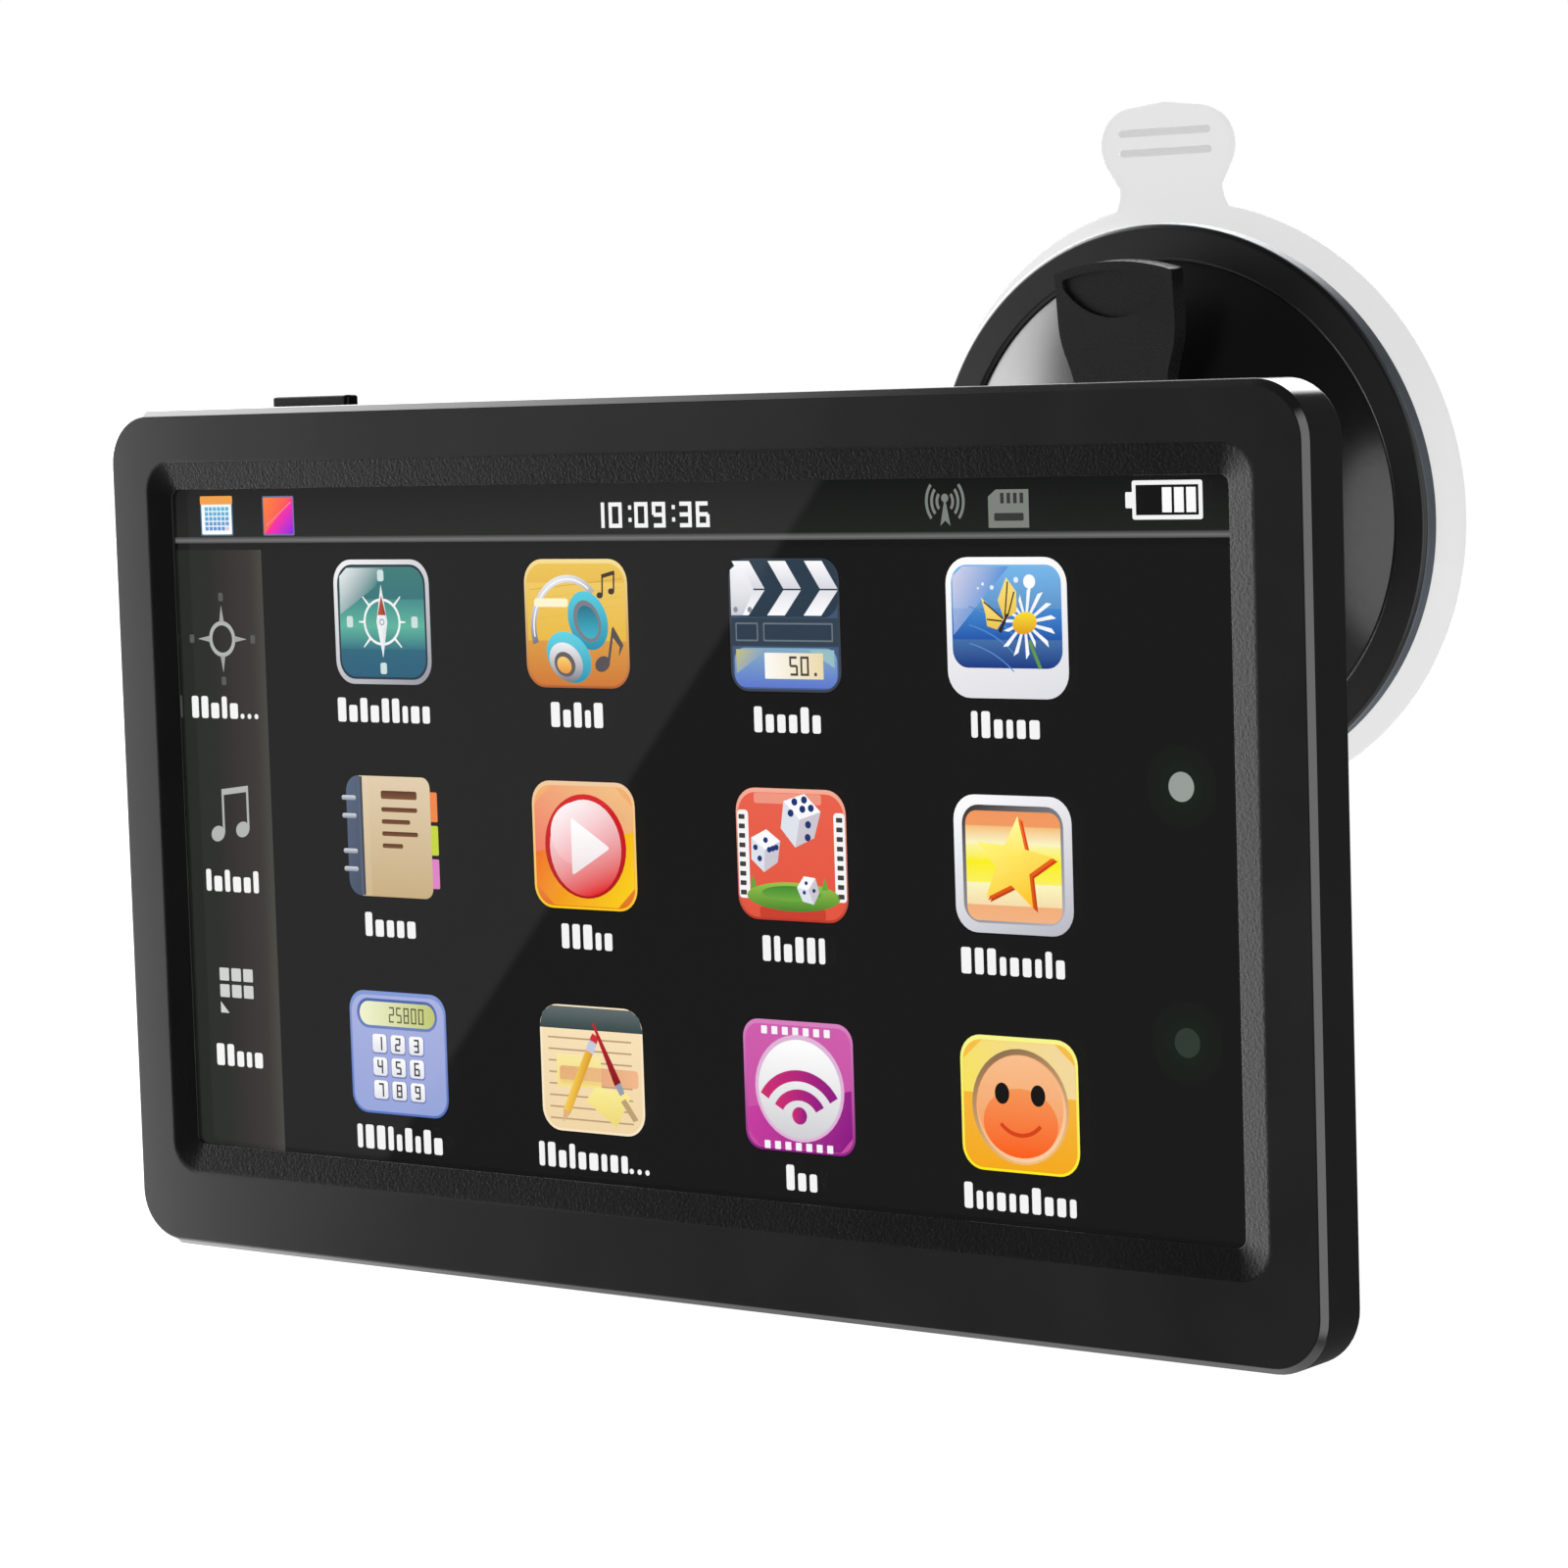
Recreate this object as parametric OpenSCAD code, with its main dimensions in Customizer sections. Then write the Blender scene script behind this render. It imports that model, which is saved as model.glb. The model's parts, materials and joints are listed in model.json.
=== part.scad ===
// Portable GPS navigator on its windshield suction mount. Millimetres.
// Origin: centre of the suction face. +X to the right across the screen, +Y from the driver
// towards the glass, +Z up. The screen is parallel to the XZ plane.

/* [Navigator case] */
// Width of the navigator
case_w = 184; // [180:0.5:190]
// Height of the navigator
case_h = 110.9; // [110:0.1:116]
// Depth of the navigator, front face to back face
case_d = 13.6; // [13.4:0.1:16]
// Depth of the front bezel, front face to the split line
bezel_d = 7.5; // [7.4:0.1:8]
// Radius of the case's corners, seen from the front
corner_r = 7; // [5:0.5:10]
// Width of the chamfer round the front edge
chamfer = 0.8; // [0.4:0.1:1.2]
// Wall thickness of the bezel's sides
side_wall = 1.8; // [1.4:0.1:2]
// Wall thickness of the rear cover
back_wall = 1.6; // [1.2:0.1:2]

/* [Screen] */
// Width of the screen's window
window_w = 162.7; // [160:0.1:163]
// Height of the screen's window
window_h = 86.6; // [84:0.1:88]
// Height of the window's centre above the case's centre
window_z = 1.7; // [0:0.1:3]
// Width of the bevel that slopes down to the window
bevel_w = 3.6; // [2:0.1:4]
// Depth of the bevel at the window's edge
bevel_d = 0.8; // [0.4:0.1:1]

/* [Place of the navigator] */
// Distance of the screen's front plane from the suction face's centre
case_gap = 127.4; // [120:0.1:140]
// Height of the suction face's centre above the case's centre
case_drop = 37.5; // [30:0.5:45]
// Sideways shift of the case from the suction face's centre
case_shift = 2.9; // [2.5:0.1:3.5]

/* [Suction cup] */
// Lean of the cup: its face looks up by this angle
cup_lean = 5.4; // [0:0.1:10]
// Turn of the cup about the upright axis
cup_turn = 1.8; // [0:0.1:4]
// Radius of the clear suction disc
disc_r = 43.1; // [42:0.1:46]
// Radius of the black housing's rim
rim_r = 40.3; // [39:0.1:41]
// Radius of the dome inside the flat ring
dome_r = 35.1; // [32:0.1:37]
// Height of the dome's top above the suction face
dome_top = 14.2; // [13:0.1:14.5]
// Travel of the suction core when the lever is released
core_travel = 3; // [2:0.1:3]

/* [Lever and arm] */
// Angle that the lever opens through
lever_open = 70; // [60:1:75]
// Width of the lever's paddle
paddle_w = 19; // [17:0.5:21]
// Width of the lever's blade between the cheeks
blade_w = 14.8; // [13:0.1:15]
// Radius of the mount's ball
ball_r = 10; // [9:0.5:10]

/* [Cradle] */
// Width of the cradle plate
cradle_w = 80; // [76:1:90]
// Height of the cradle plate
cradle_h = 50; // [46:1:60]
// Lift that frees the navigator from the cradle's hooks
lift = 9; // [8:0.5:10]

/* [Hidden] */
$fn = 96;
eps = 0.01;
fit_gap = 0.05;

// Screen stack, as depths behind the front face
glass_y = 1.2;
glass_t = 1.1;
panel_y = 2.4;
panel_t = 1.4;
light_y = 3.9;
light_t = 2.0;
frame_y = 6.0;
frame_t = 0.7;
stack_w = window_w + 3;
glass_h = window_h + 3;
panel_h = window_h + 6;
frame_h = window_h + 9.6;

// Things behind the screen
inner_y = 6.9;
board_t = 1.0;
board_back = inner_y + board_t;
board_x = -84;
board_z = -50;
board_w = 132;
board_h = 48;
inner_back = case_d - back_wall;
screw_x = 79;
screw_low = -42;
screw_high = 46;
screw_r = 0.9;
screw_head_r = 1.9;
seat_y = case_d - 1.3;
standoff_y = 10;
standoff_r = 2.2;
board_hole_r = 2.6;
post_r = 2.8;
socket_x = -86.2;
usb_z = -26;
usb_w = 7.7;
usb_t = 3.8;
jack_z = -35.5;
jack_r = 1.8;
jack_len = 14;
jack_y = 9.3;
jack_half = 3;
jack_depth = 4.8;
jack_ring_r = 2.3;
card_z = -11;
card_w = 11;
card_l = 15;
card_y = 8.4;
card_t = 0.9;
card_out = 1;
card_shell_l = 16;
card_shell_t = 1.9;
card_shell_half = 7;
speaker_at = [64, -27];
speaker_r = 14;
cone_r = 12;
slit_l = 16;
slit_h = 1;
slit_pitch = 2;
patch_at = [62, 34];
patch_w = 18;
patch_t = 4;
carrier_w = 22;
carrier_t = 0.8;
shield_x = [-24, 4];
shield_z = [-42, -16];
shield_h = 2.4;
sheet_t = 0.3;
battery_z = 24;
battery_w = 52;
battery_h = 43;
lead_x = [30, 32.4];
lead_r = 0.5;
lead_pad_z = -6;
lead_tag_z = 18;
usb_l = 9;
usb_mouth = 7;
usb_wall = 0.4;
jack_room_back = 11.9;

flex_x = 10;
flex_z = -46.3;
flex_t = 0.3;
flex_half = 15;
flex_y = 3;
flex_room = 2;
flex_tail = 1.6;
flex_foot = 3;

// Power button in the top edge
button_x = -58.6;
button_l = 14.8;
button_t = 2.6;
button_y = 4.6;
button_proud = 1.3;
flange = 1;
button_flange_t = 0.8;
button_low = case_h / 2 - side_wall - 0.05 - button_flange_t;
switch_z = window_z + panel_h / 2 + 1.4;
switch_half = 1.4;
switch_l = 12;
switch_cap_l = 6;
switch_body_h = 1.6;
switch_cap_top = 2.4;
plunger_r = 1.1;
travel = 0.4;

// Cradle and its hooks
cradle_z = 10;
cradle_y = case_d + 0.3;
cradle_t = 3;
hook_x = 34;
hook_dz = 16;
hook_stem = 4;
hook_head = 8;
hook_h = 5;
hook_room = 3;
head_y = 10.7;
head_t = 1.1;
pocket_floor = 9.6;
pocket_t = 0.8;
pocket_half = 6;
slot_gap = 0.4;
back_edge = 7;
mid_edge = 3.4;
mid_y = 2.2;

// Ball joint
ball_at = [0, 29, cradle_z];
liner_t = 0.6;
liner_1 = ball_r + fit_gap;
liner_2 = liner_1 + liner_t + 2 * fit_gap;
cavity_r = liner_2 + liner_t + 2 * fit_gap;
socket_r = 15;
mouth_r = 9.3;
collar_r = 18;
collar_back = 8.2;
collar_front = -7;
flute_r = 2;
split = 1;
neck_r = 4;
neck_l = 15;
stud_r = 3;
stud_l = 6;

// Cup, as heights above the suction face
rim_low = 4;
rim_top = 7;
ring_in = 5.9;
shell_t = 2.2;
core_r = 9;
core_low = 3;
core_t = 2;
ring_top = 6.9;
well_w = 15.6;
well_floor = 10.5;
well_z = [-8.5, 9];
boss_r = 8;
stem_r = 3.5;
eye_w = 6.6;
block_r = 13.5;
block_low = 7.5;
core_gap = 0.4;
pin_h = 16.5;
pin_r = 1.5;
pin_l = 15;
cheek_t = 3.5;
cheek_r = 7.5;
knuckle = [-10, 31];
eye_len = 15.2;
bolt_r = 3;
bolt_head_r = 5.5;
bolt_head_t = 3.5;
bolt_out = 7;
arm_r = 5.5;
arm_bend = [-11.5, 40];
boss_top = 6.5;
knob_l = 11;
knob_core_r = 7;
lobe_r = 2.8;
lobe_at = 6.5;
lobe_skirt = 2;
knob_bore = 8;
blade_low = 15.1;
blade_top = 18.2;
neck_z = 19.8;
shoulder_z = 25.8;
paddle_z = 34.7;
paddle_top = 36.2;
grip_low = 28.4;
recess_r = 10;
recess_t = 0.6;
recess_edge = 1.2;
fork_w = 7;
tab_t = 1.5;
tab_neck = 8.1;
tab_neck_z = 45;
tab_flare = 5.6;
tab_root = 38.2;
tab_side_x = 5.2;
tab_side_z = 50.9;
tab_side_r = 5.5;
tab_end_z = 50.5;
tab_end_r = 6.5;
ridge_z = [50.1, 52.9];
ridge_r = 0.55;
ridge_half = 6.9;
cam_lock = pin_h - well_floor - fit_gap;

// Ball centre seen from the cup's own frame: the case's place, then the cup's turn and lean undone
ball_row = [case_shift, -case_gap, -case_drop] + ball_at;
ball_u = cos(cup_turn) * ball_row.x + sin(cup_turn) * ball_row.y;
ball_v = cos(cup_turn) * ball_row.y - sin(cup_turn) * ball_row.x;
ball_y = cos(cup_lean) * ball_v + sin(cup_lean) * ball_row.z;
ball_z = cos(cup_lean) * ball_row.z - sin(cup_lean) * ball_v;

// ---- places -------------------------------------------------------------------------------

// The case's frame: y = 0 is the front plane, z = 0 the middle of the case's height
module at_case() translate([case_shift, -case_gap, -case_drop]) children();

// The cup's frame: y = 0 is the suction face, and the cup stands towards -Y
module at_cup() rotate([cup_lean, 0, cup_turn]) children();

// Turned shapes: a profile of [radius, height] revolved round the cup's axis, height towards -Y
module turned() rotate([90, 0, 0]) rotate_extrude() children();

// A plan drawn in [x, z], from depth y0 to depth y1
module slab(y0, y1) translate([0, y1, 0]) rotate([90, 0, 0]) linear_extrude(y1 - y0) children();

// A side view drawn in [z, height] of the cup's frame, w thick and centred on x = 0
module side(w) rotate([180, -90, 0]) translate([0, 0, -w / 2]) linear_extrude(w) children();

module rod_x(r, l) rotate([0, 90, 0]) cylinder(r = r, h = l, center = true);

module rod_y(r, y0, y1) translate([0, y0, 0]) rotate([-90, 0, 0]) cylinder(r = r, h = y1 - y0);

module round_rect(w, h, r) {
    square([w - 2 * r, h], center = true);
    square([w, h - 2 * r], center = true);
    for (i = [-1, 1], j = [-1, 1]) translate([i * (w / 2 - r), j * (h / 2 - r)]) circle(r);
}

module block(x0, x1, y0, y1, z0, z1) translate([x0, y0, z0]) cube([x1 - x0, y1 - y0, z1 - z0]);

// ---- navigator ----------------------------------------------------------------------------

module case_plan(inset) round_rect(case_w - 2 * inset, case_h - 2 * inset, corner_r - inset);

module window_plan(grow, r) translate([0, window_z])
    round_rect(window_w + 2 * grow, window_h + 2 * grow, r);

module front_bezel() color("#262626") at_case() difference() {
    union() {
        slab(chamfer, bezel_d) case_plan(0);
        hull() {
            slab(0, eps) case_plan(chamfer, $fn = 32);
            slab(chamfer, chamfer + eps) case_plan(0, $fn = 32);
        }
    }
    hull() {
        slab(-eps, 0) window_plan(bevel_w, 4, $fn = 32);
        slab(bevel_d, bevel_d + eps) window_plan(0, 1.2, $fn = 32);
    }
    slab(bevel_d - eps, bezel_d) window_plan(0, 1.2);
    slab(glass_y, bezel_d) translate([0, window_z])
        square([stack_w + 0.4, glass_h + 0.4], center = true);
    slab(panel_y - 0.1, bezel_d + eps) round_rect(case_w - 2 * side_wall, case_h - 2 * side_wall, 5);
    translate([button_x, button_y, case_h / 2])
        cube([button_l + 0.3, button_t + 0.3, 3 * side_wall], center = true);
}

module touch_panel() color("#101214") at_case() slab(glass_y, glass_y + glass_t)
    translate([0, window_z]) round_rect(stack_w, glass_h, 1);

module lcd_panel() color("#1d2a33") at_case() slab(panel_y, panel_y + panel_t)
    translate([0, window_z]) square([stack_w, panel_h], center = true);

module backlight() color("white") at_case() slab(light_y, light_y + light_t)
    translate([0, window_z]) square([stack_w, panel_h + 1], center = true);

module frame_screws_at() for (i = [-1, 1], z = [screw_low, screw_high])
    translate([i * screw_x, 0, z]) children();

// Pressed tray that carries the display, with four tapped standoffs behind it
module lcd_frame() color("#9aa0a4") at_case() difference() {
    union() {
        slab(frame_y, frame_y + frame_t) translate([0, window_z])
            square([stack_w + 2, frame_h - 2], center = true);
        for (i = [-1, 1]) translate([0, 0, window_z + i * (panel_h / 2 + 1)])
            slab(panel_y, frame_y + eps) square([stack_w - 20, 0.8], center = true);
        frame_screws_at() rod_y(standoff_r, frame_y, standoff_y);
    }
    frame_screws_at() rod_y(screw_r + fit_gap, frame_y - eps, standoff_y + eps);
    // notch for the flat cable
    block(flex_x - flex_half - flex_room, flex_x + flex_half + flex_room, panel_y - eps, frame_y - 0.1,
        window_z - frame_h / 2, flex_z + flex_tail);
}

module main_board() color("#1f5c3a") at_case() difference() {
    block(board_x, board_x + board_w, inner_y, board_back, board_z, board_z + board_h);
    frame_screws_at() rod_y(board_hole_r, 0, case_d);
    block(board_x - eps, socket_x + jack_len + 1, 0, case_d,
        jack_z - jack_half - 0.4, jack_z + jack_half + 0.4);
}

module cpu_shield() color("#c4c8ca") at_case() difference() {
    block(shield_x[0], shield_x[1], board_back, board_back + shield_h, shield_z[0], shield_z[1]);
    block(shield_x[0] + sheet_t, shield_x[1] - sheet_t, board_back - eps, board_back + shield_h - sheet_t,
        shield_z[0] + sheet_t, shield_z[1] - sheet_t);
}

module battery() color("#d6d8d2") at_case() slab(inner_y, inner_back - 0.4)
    translate([0, battery_z]) round_rect(battery_w, battery_h, 1.5);

// Two leads from the battery's tag to the board's solder pads
module battery_lead() color("#b02020") at_case() for (x = lead_x) lead(x);

module lead(x) translate([0, board_back + lead_r, 0]) {
    translate([x, 0, lead_pad_z]) cylinder(r = lead_r, h = lead_tag_z - lead_pad_z);
    translate([x, 0, lead_tag_z]) sphere(lead_r);
    translate([battery_w / 2, 0, lead_tag_z]) rotate([0, 90, 0])
        cylinder(r = lead_r, h = x - battery_w / 2);
}

module speaker() color("#303030") at_case() translate([speaker_at.x, 0, speaker_at.y])
    difference() {
        rod_y(speaker_r, inner_y, inner_back - 0.3);
        rod_y(cone_r, inner_back - 1.4, inner_back);
    }

module gps_antenna() color("#d9cfae") at_case() translate([patch_at.x, 0, patch_at.y]) {
    slab(inner_y, inner_y + carrier_t) square(carrier_w, center = true);
    slab(inner_y + carrier_t - eps, inner_y + carrier_t + patch_t) square(patch_w, center = true);
}

// A stamped shell with a hollow mouth towards -X
module usb_socket() color("#b9bdc0") at_case() difference() {
    block(socket_x, socket_x + usb_l, board_back, board_back + usb_t, usb_z - usb_w / 2, usb_z + usb_w / 2);
    block(socket_x - eps, socket_x + usb_mouth, board_back + usb_wall, board_back + usb_t - usb_wall,
        usb_z - usb_w / 2 + usb_wall, usb_z + usb_w / 2 - usb_wall);
}

module card_socket() color("#c0c3c6") at_case() difference() {
    block(socket_x + 1, socket_x + card_shell_l, board_back, board_back + card_shell_t,
        card_z - card_shell_half, card_z + card_shell_half);
    block(socket_x + 1 - eps, socket_x + card_shell_l - 0.4, card_y - 0.1, card_y + card_t + 0.1,
        card_z - card_w / 2 - 0.1, card_z + card_w / 2 + 0.1);
}

module memory_card() color("#202224") at_case() difference() {
    block(socket_x - card_out, socket_x - card_out + card_l, card_y, card_y + card_t,
        card_z - card_w / 2, card_z + card_w / 2);
    block(socket_x + 8, socket_x + 20, 0, case_d, card_z + card_w / 2 - 1.2, card_z + card_w);
}

module audio_jack() color("#2b2b2d") at_case() difference() {
    union() {
        block(socket_x + 1, socket_x + jack_len, inner_y, inner_y + jack_depth,
            jack_z - jack_half, jack_z + jack_half);
        translate([socket_x - 1, jack_y, jack_z]) rotate([0, 90, 0]) cylinder(r = jack_ring_r, h = 3);
    }
    translate([socket_x - 1 - eps, jack_y, jack_z]) rotate([0, 90, 0])
        cylinder(r = jack_r, h = jack_len);
}

// Flat cable folded round the display's lower edge to the front of the board
module display_flex() color("#c98a3c") at_case() translate([flex_x, 0, flex_z]) {
    block(-flex_half, flex_half, flex_y, inner_y, -flex_t, 0);
    block(-flex_half, flex_half, flex_y, flex_y + flex_t, -eps, flex_tail);
    block(-flex_half, flex_half, inner_y - flex_t, inner_y, -flex_foot, -flex_t + eps);
}

module power_switch() color("#8a8d90") at_case() translate([button_x, button_y, 0]) {
    body_top = switch_z + switch_body_h;
    cap_top = switch_z + switch_cap_top;
    tip = button_low - fit_gap - travel;
    block(-switch_l / 2, switch_l / 2, -switch_half, switch_half, switch_z, body_top);
    block(-switch_cap_l / 2, switch_cap_l / 2, -switch_half, switch_half, body_top - 0.1, cap_top);
    translate([0, 0, cap_top - 0.1]) cylinder(r = plunger_r, h = tip - cap_top + 0.1);
}

module power_button() color("#1c1c1c") at_case() translate([button_x, button_y, 0]) {
    half = button_l / 2;
    depth = button_t / 2;
    top = button_low + button_flange_t;
    block(-half, half, -depth, depth, top - eps, case_h / 2 + button_proud);
    block(-half - flange, half + flange, -depth - 0.5, depth + 0.5, button_low, top);
}

// The cover's outside or inside: the full outline at the split line, drawn in towards the back
module cover_shape(inset, y_back) hull() {
    slab(bezel_d, bezel_d + eps) case_plan(inset + 0.2, $fn = 32);
    slab(y_back - mid_y, y_back - mid_y + eps) case_plan(inset + mid_edge, $fn = 32);
    slab(y_back - eps, y_back)
        round_rect(case_w - 2 * (inset + back_edge), case_h - 2 * (inset + back_edge), 4, $fn = 32);
}

module hooks_at() for (i = [-1, 1], j = [-1, 1])
    translate([i * hook_x, 0, cradle_z + j * hook_dz]) children();

module rear_cover() color("#1b1b1c") at_case() difference() {
    cover_shape(0, case_d);
    difference() {
        translate([0, -eps, 0]) cover_shape(back_wall, inner_back);
        frame_screws_at() rod_y(post_r, standoff_y, case_d);
        hooks_at() block(-pocket_half, pocket_half, pocket_floor, case_d, -lift - 4, 4);
    }
    frame_screws_at() {
        rod_y(screw_r + 0.2, bezel_d, case_d + eps);
        rod_y(screw_head_r + 0.2, seat_y, case_d + eps);
    }
    hooks_at() {
        block(1 - pocket_half, pocket_half - 1, pocket_floor + pocket_t, inner_back, -lift - 3.2, 3.2);
        block(-hook_stem / 2 - slot_gap, hook_stem / 2 + slot_gap, inner_back - eps, case_d + eps,
            -lift, hook_room);
        block(-hook_head / 2 - slot_gap, hook_head / 2 + slot_gap, inner_back - eps, case_d + eps,
            -lift - hook_room, -lift + hook_room);
    }
    for (k = [-4:4]) translate([speaker_at.x, 0, speaker_at.y + slit_pitch * k])
        block(-slit_l / 2, slit_l / 2, inner_back - 1, case_d + 1, -slit_h / 2, slit_h / 2);
    block(-case_w, socket_x + 3, board_back - 0.2, board_back + usb_t + 0.2,
        usb_z - usb_w / 2 - 0.3, usb_z + usb_w / 2 + 0.3);
    block(-case_w, socket_x + 3, card_y - 0.4, card_y + card_t + 0.4,
        card_z - card_w / 2 - 0.4, card_z + card_w / 2 + 0.4);
    translate([-case_w, jack_y, jack_z]) rotate([0, 90, 0])
        cylinder(r = jack_ring_r + 0.2, h = case_w + socket_x + 3);
    // room for the jack's body in the sloping wall
    block(socket_x + 0.8, socket_x + 4, bezel_d - eps, jack_room_back,
        jack_z - jack_half - 0.3, jack_z + jack_half + 0.3);
}

module case_screws() color("#606366") at_case() frame_screws_at() {
    rod_y(screw_r, inner_y + 0.5, seat_y + eps);
    difference() {
        rod_y(screw_head_r, seat_y, seat_y + 1);
        for (a = [0, 90]) rotate([0, a, 0]) block(-1.1, 1.1, seat_y + 0.5, case_d, -0.25, 0.25);
    }
}

// ---- cradle and ball joint ----------------------------------------------------------------

module cradle() color("#242424") at_case() difference() {
    union() {
        slab(cradle_y, cradle_y + cradle_t) translate([0, cradle_z]) round_rect(cradle_w, cradle_h, 7);
        hooks_at() {
            block(-hook_stem / 2, hook_stem / 2, head_y, cradle_y + eps, -hook_h / 2, hook_h / 2);
            block(-hook_head / 2, hook_head / 2, head_y, head_y + head_t, -hook_h / 2, hook_h / 2);
        }
        translate(ball_at) rod_y(socket_r, cradle_y - ball_at.y, split);
    }
    translate(ball_at) cavity();
}

// Round hollow of the ball joint, turned about the socket's axis
module cavity() rotate([90, 0, 0]) rotate_extrude() intersection() {
    circle(cavity_r);
    translate([0, -cavity_r]) square([cavity_r, 2 * cavity_r]);
}

// Threaded ring that clamps the ball: its lip closes over the ball's far half
module collar_nut() color("#2a2a2b") at_case() translate(ball_at) difference() {
    rod_y(collar_r, collar_front, collar_back);
    rod_y(socket_r + fit_gap, collar_front - eps, split);
    cavity();
    rod_y(mouth_r, 0, collar_back + eps);
    for (a = [0:30:330]) rotate([0, a, 0]) translate([collar_r + 1, 0, 0])
        rod_y(flute_r, collar_front - 1, collar_back + 1);
}

// A band of a hollow sphere, from angle a0 to a1 off the socket's own axis
module liner(r, a0, a1) translate(ball_at) rotate([90, 0, 0]) rotate_extrude()
    polygon(concat(
        [for (i = [0:12]) let (a = a0 + (a1 - a0) * i / 12) (r + liner_t) * [sin(a), cos(a)]],
        [for (i = [12:-1:0]) let (a = a0 + (a1 - a0) * i / 12) r * [sin(a), cos(a)]]));

module friction_cup() color("#8c8c88") at_case() liner(liner_1, 20, 70);

module friction_ring() color("#a09c94") at_case() liner(liner_2, 24, 74);

// Polished ball with a neck and a stud that is screwed into the arm
module ball_stud() color("#2e2e30") at_cup() translate([ball_u, ball_y, ball_z]) {
    sphere(ball_r);
    rod_y(neck_r, 0, neck_l);
    rod_y(stud_r, neck_l - eps, neck_l + stud_l);
}

module swing_arm() color("#222223") at_cup() difference() {
    union() {
        translate([0, -knuckle.y, knuckle.x]) rod_x(cheek_r, eye_len);
        hull() {
            translate([0, -arm_bend.y, arm_bend.x]) rod_x(arm_r, eye_len - 1, $fn = 32);
            translate([ball_u, ball_y, ball_z]) rod_y(boss_top, neck_l, neck_l + 2, $fn = 32);
        }
        hull() {
            translate([0, -arm_bend.y, arm_bend.x]) rod_x(arm_r, eye_len - 1, $fn = 32);
            translate([0, -knuckle.y, knuckle.x]) rod_x(arm_r, eye_len - 1, $fn = 32);
        }
    }
    translate([0, -knuckle.y, knuckle.x]) rod_x(bolt_r + fit_gap, case_w);
    translate([ball_u, ball_y, ball_z]) rod_y(stud_r + fit_gap, neck_l - 0.1, neck_l + stud_l + 0.1);
}

module arm_bolt() color("#8f9396") at_cup() translate([0, -knuckle.y, knuckle.x]) {
    outer = well_w / 2 + cheek_t;
    translate([(bolt_out - 1) / 2, 0, 0]) rod_x(bolt_r, 2 * outer + bolt_out + 1);
    translate([-outer - bolt_head_t / 2, 0, 0]) rod_x(bolt_head_r, bolt_head_t, $fn = 6);
}

// Seven-lobed thumb knob on the bolt's threaded end
module arm_knob() color("#1f1f20") at_cup() translate([well_w / 2 + cheek_t + 0.2, -knuckle.y, knuckle.x])
    rotate([0, 90, 0]) difference() {
        union() {
            cylinder(r = knob_core_r, h = knob_l);
            for (a = [0:360 / 7:359]) rotate(a) translate([lobe_at, 0, lobe_skirt])
                cylinder(r = lobe_r, h = knob_l - lobe_skirt, $fn = 24);
        }
        translate([0, 0, -1]) cylinder(r = bolt_r + fit_gap, h = knob_bore + 1);
    }

// ---- suction cup --------------------------------------------------------------------------

// Height of the dome's outside at radius r
dome_rise = dome_top - ring_in;
dome_ball = (dome_r * dome_r + dome_rise * dome_rise) / (2 * dome_rise);
function dome_h(r) = dome_top - dome_ball + sqrt(dome_ball * dome_ball - r * r);

module dome_housing() color("#161617") at_cup() difference() {
    union() {
        turned() polygon(concat(
            [for (i = [0:8]) let (r = (dome_r - 1) * i / 8) [r, dome_h(r) - shell_t]],
            [[rim_r - 2.6, rim_low], [rim_r, rim_low], [rim_r, ring_top - 0.5], [rim_r - 0.5, ring_top]],
            [[dome_r + 0.4, rim_top], [dome_r, rim_top - 0.4], [dome_r, ring_in]],
            [for (i = [11:-1:0]) let (r = dome_r * i / 12) [r, dome_h(r)]]));
        rod_y(block_r, -dome_h(block_r), -block_low);
        rod_y(boss_r, -well_floor, -core_low - core_t - core_gap);
        for (i = [-1, 1]) translate([i * (well_w + cheek_t) / 2, 0, 0]) side(cheek_t) hull() {
            translate([-17, 9]) square([25, 3]);
            translate(knuckle) circle(cheek_r, $fn = 48);
        }
    }
    // well for the lever's cams, between the cheeks
    block(-well_w / 2, well_w / 2, -case_w, -well_floor, well_z[0], well_z[1]);
    block(-well_w / 2, well_w / 2, -case_w, -pin_h, -30, 30);
    rod_y(stem_r + fit_gap, -well_floor - 1, eps);
    // counterbore that the stem's eye sinks into
    rod_y(stem_r + 1, -well_floor - 1, -well_floor + 0.9);
    translate([0, -knuckle.y, knuckle.x]) rod_x(bolt_r + fit_gap, case_w);
}

module suction_disc() color("#e8ebee") at_cup() {
    turned() polygon([
        [core_r + 0.3, 2.0], [30, 1.4], [36, 0], [disc_r - 0.5, 0], [disc_r, 0.5], [disc_r, 1.1],
        [disc_r - 0.4, 1.5], [40.8, 2.4], [39.6, rim_low], [core_r + 0.3, rim_low]
    ]);
    disc_tab();
}

// Release tab with two grip ridges
module disc_tab() {
    root_half = tab_neck + tab_flare;
    slab(-tab_t, 0) {
        hull() {
            for (i = [-1, 1]) translate([i * tab_side_x, tab_side_z]) circle(tab_side_r, $fn = 48);
            translate([0, tab_end_z]) circle(tab_end_r, $fn = 48);
            translate([-tab_neck, tab_neck_z]) square([2 * tab_neck, 1]);
        }
        difference() {
            translate([-root_half, tab_root]) square([2 * root_half, tab_neck_z - tab_root + eps]);
            for (i = [-1, 1]) translate([i * root_half, tab_neck_z]) circle(tab_flare);
        }
    }
    for (z = ridge_z) translate([0, -tab_t, z]) {
        rod_x(ridge_r, 2 * ridge_half);
        for (i = [-1, 1]) translate([i * ridge_half, 0, 0]) sphere(ridge_r);
    }
}

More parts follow.
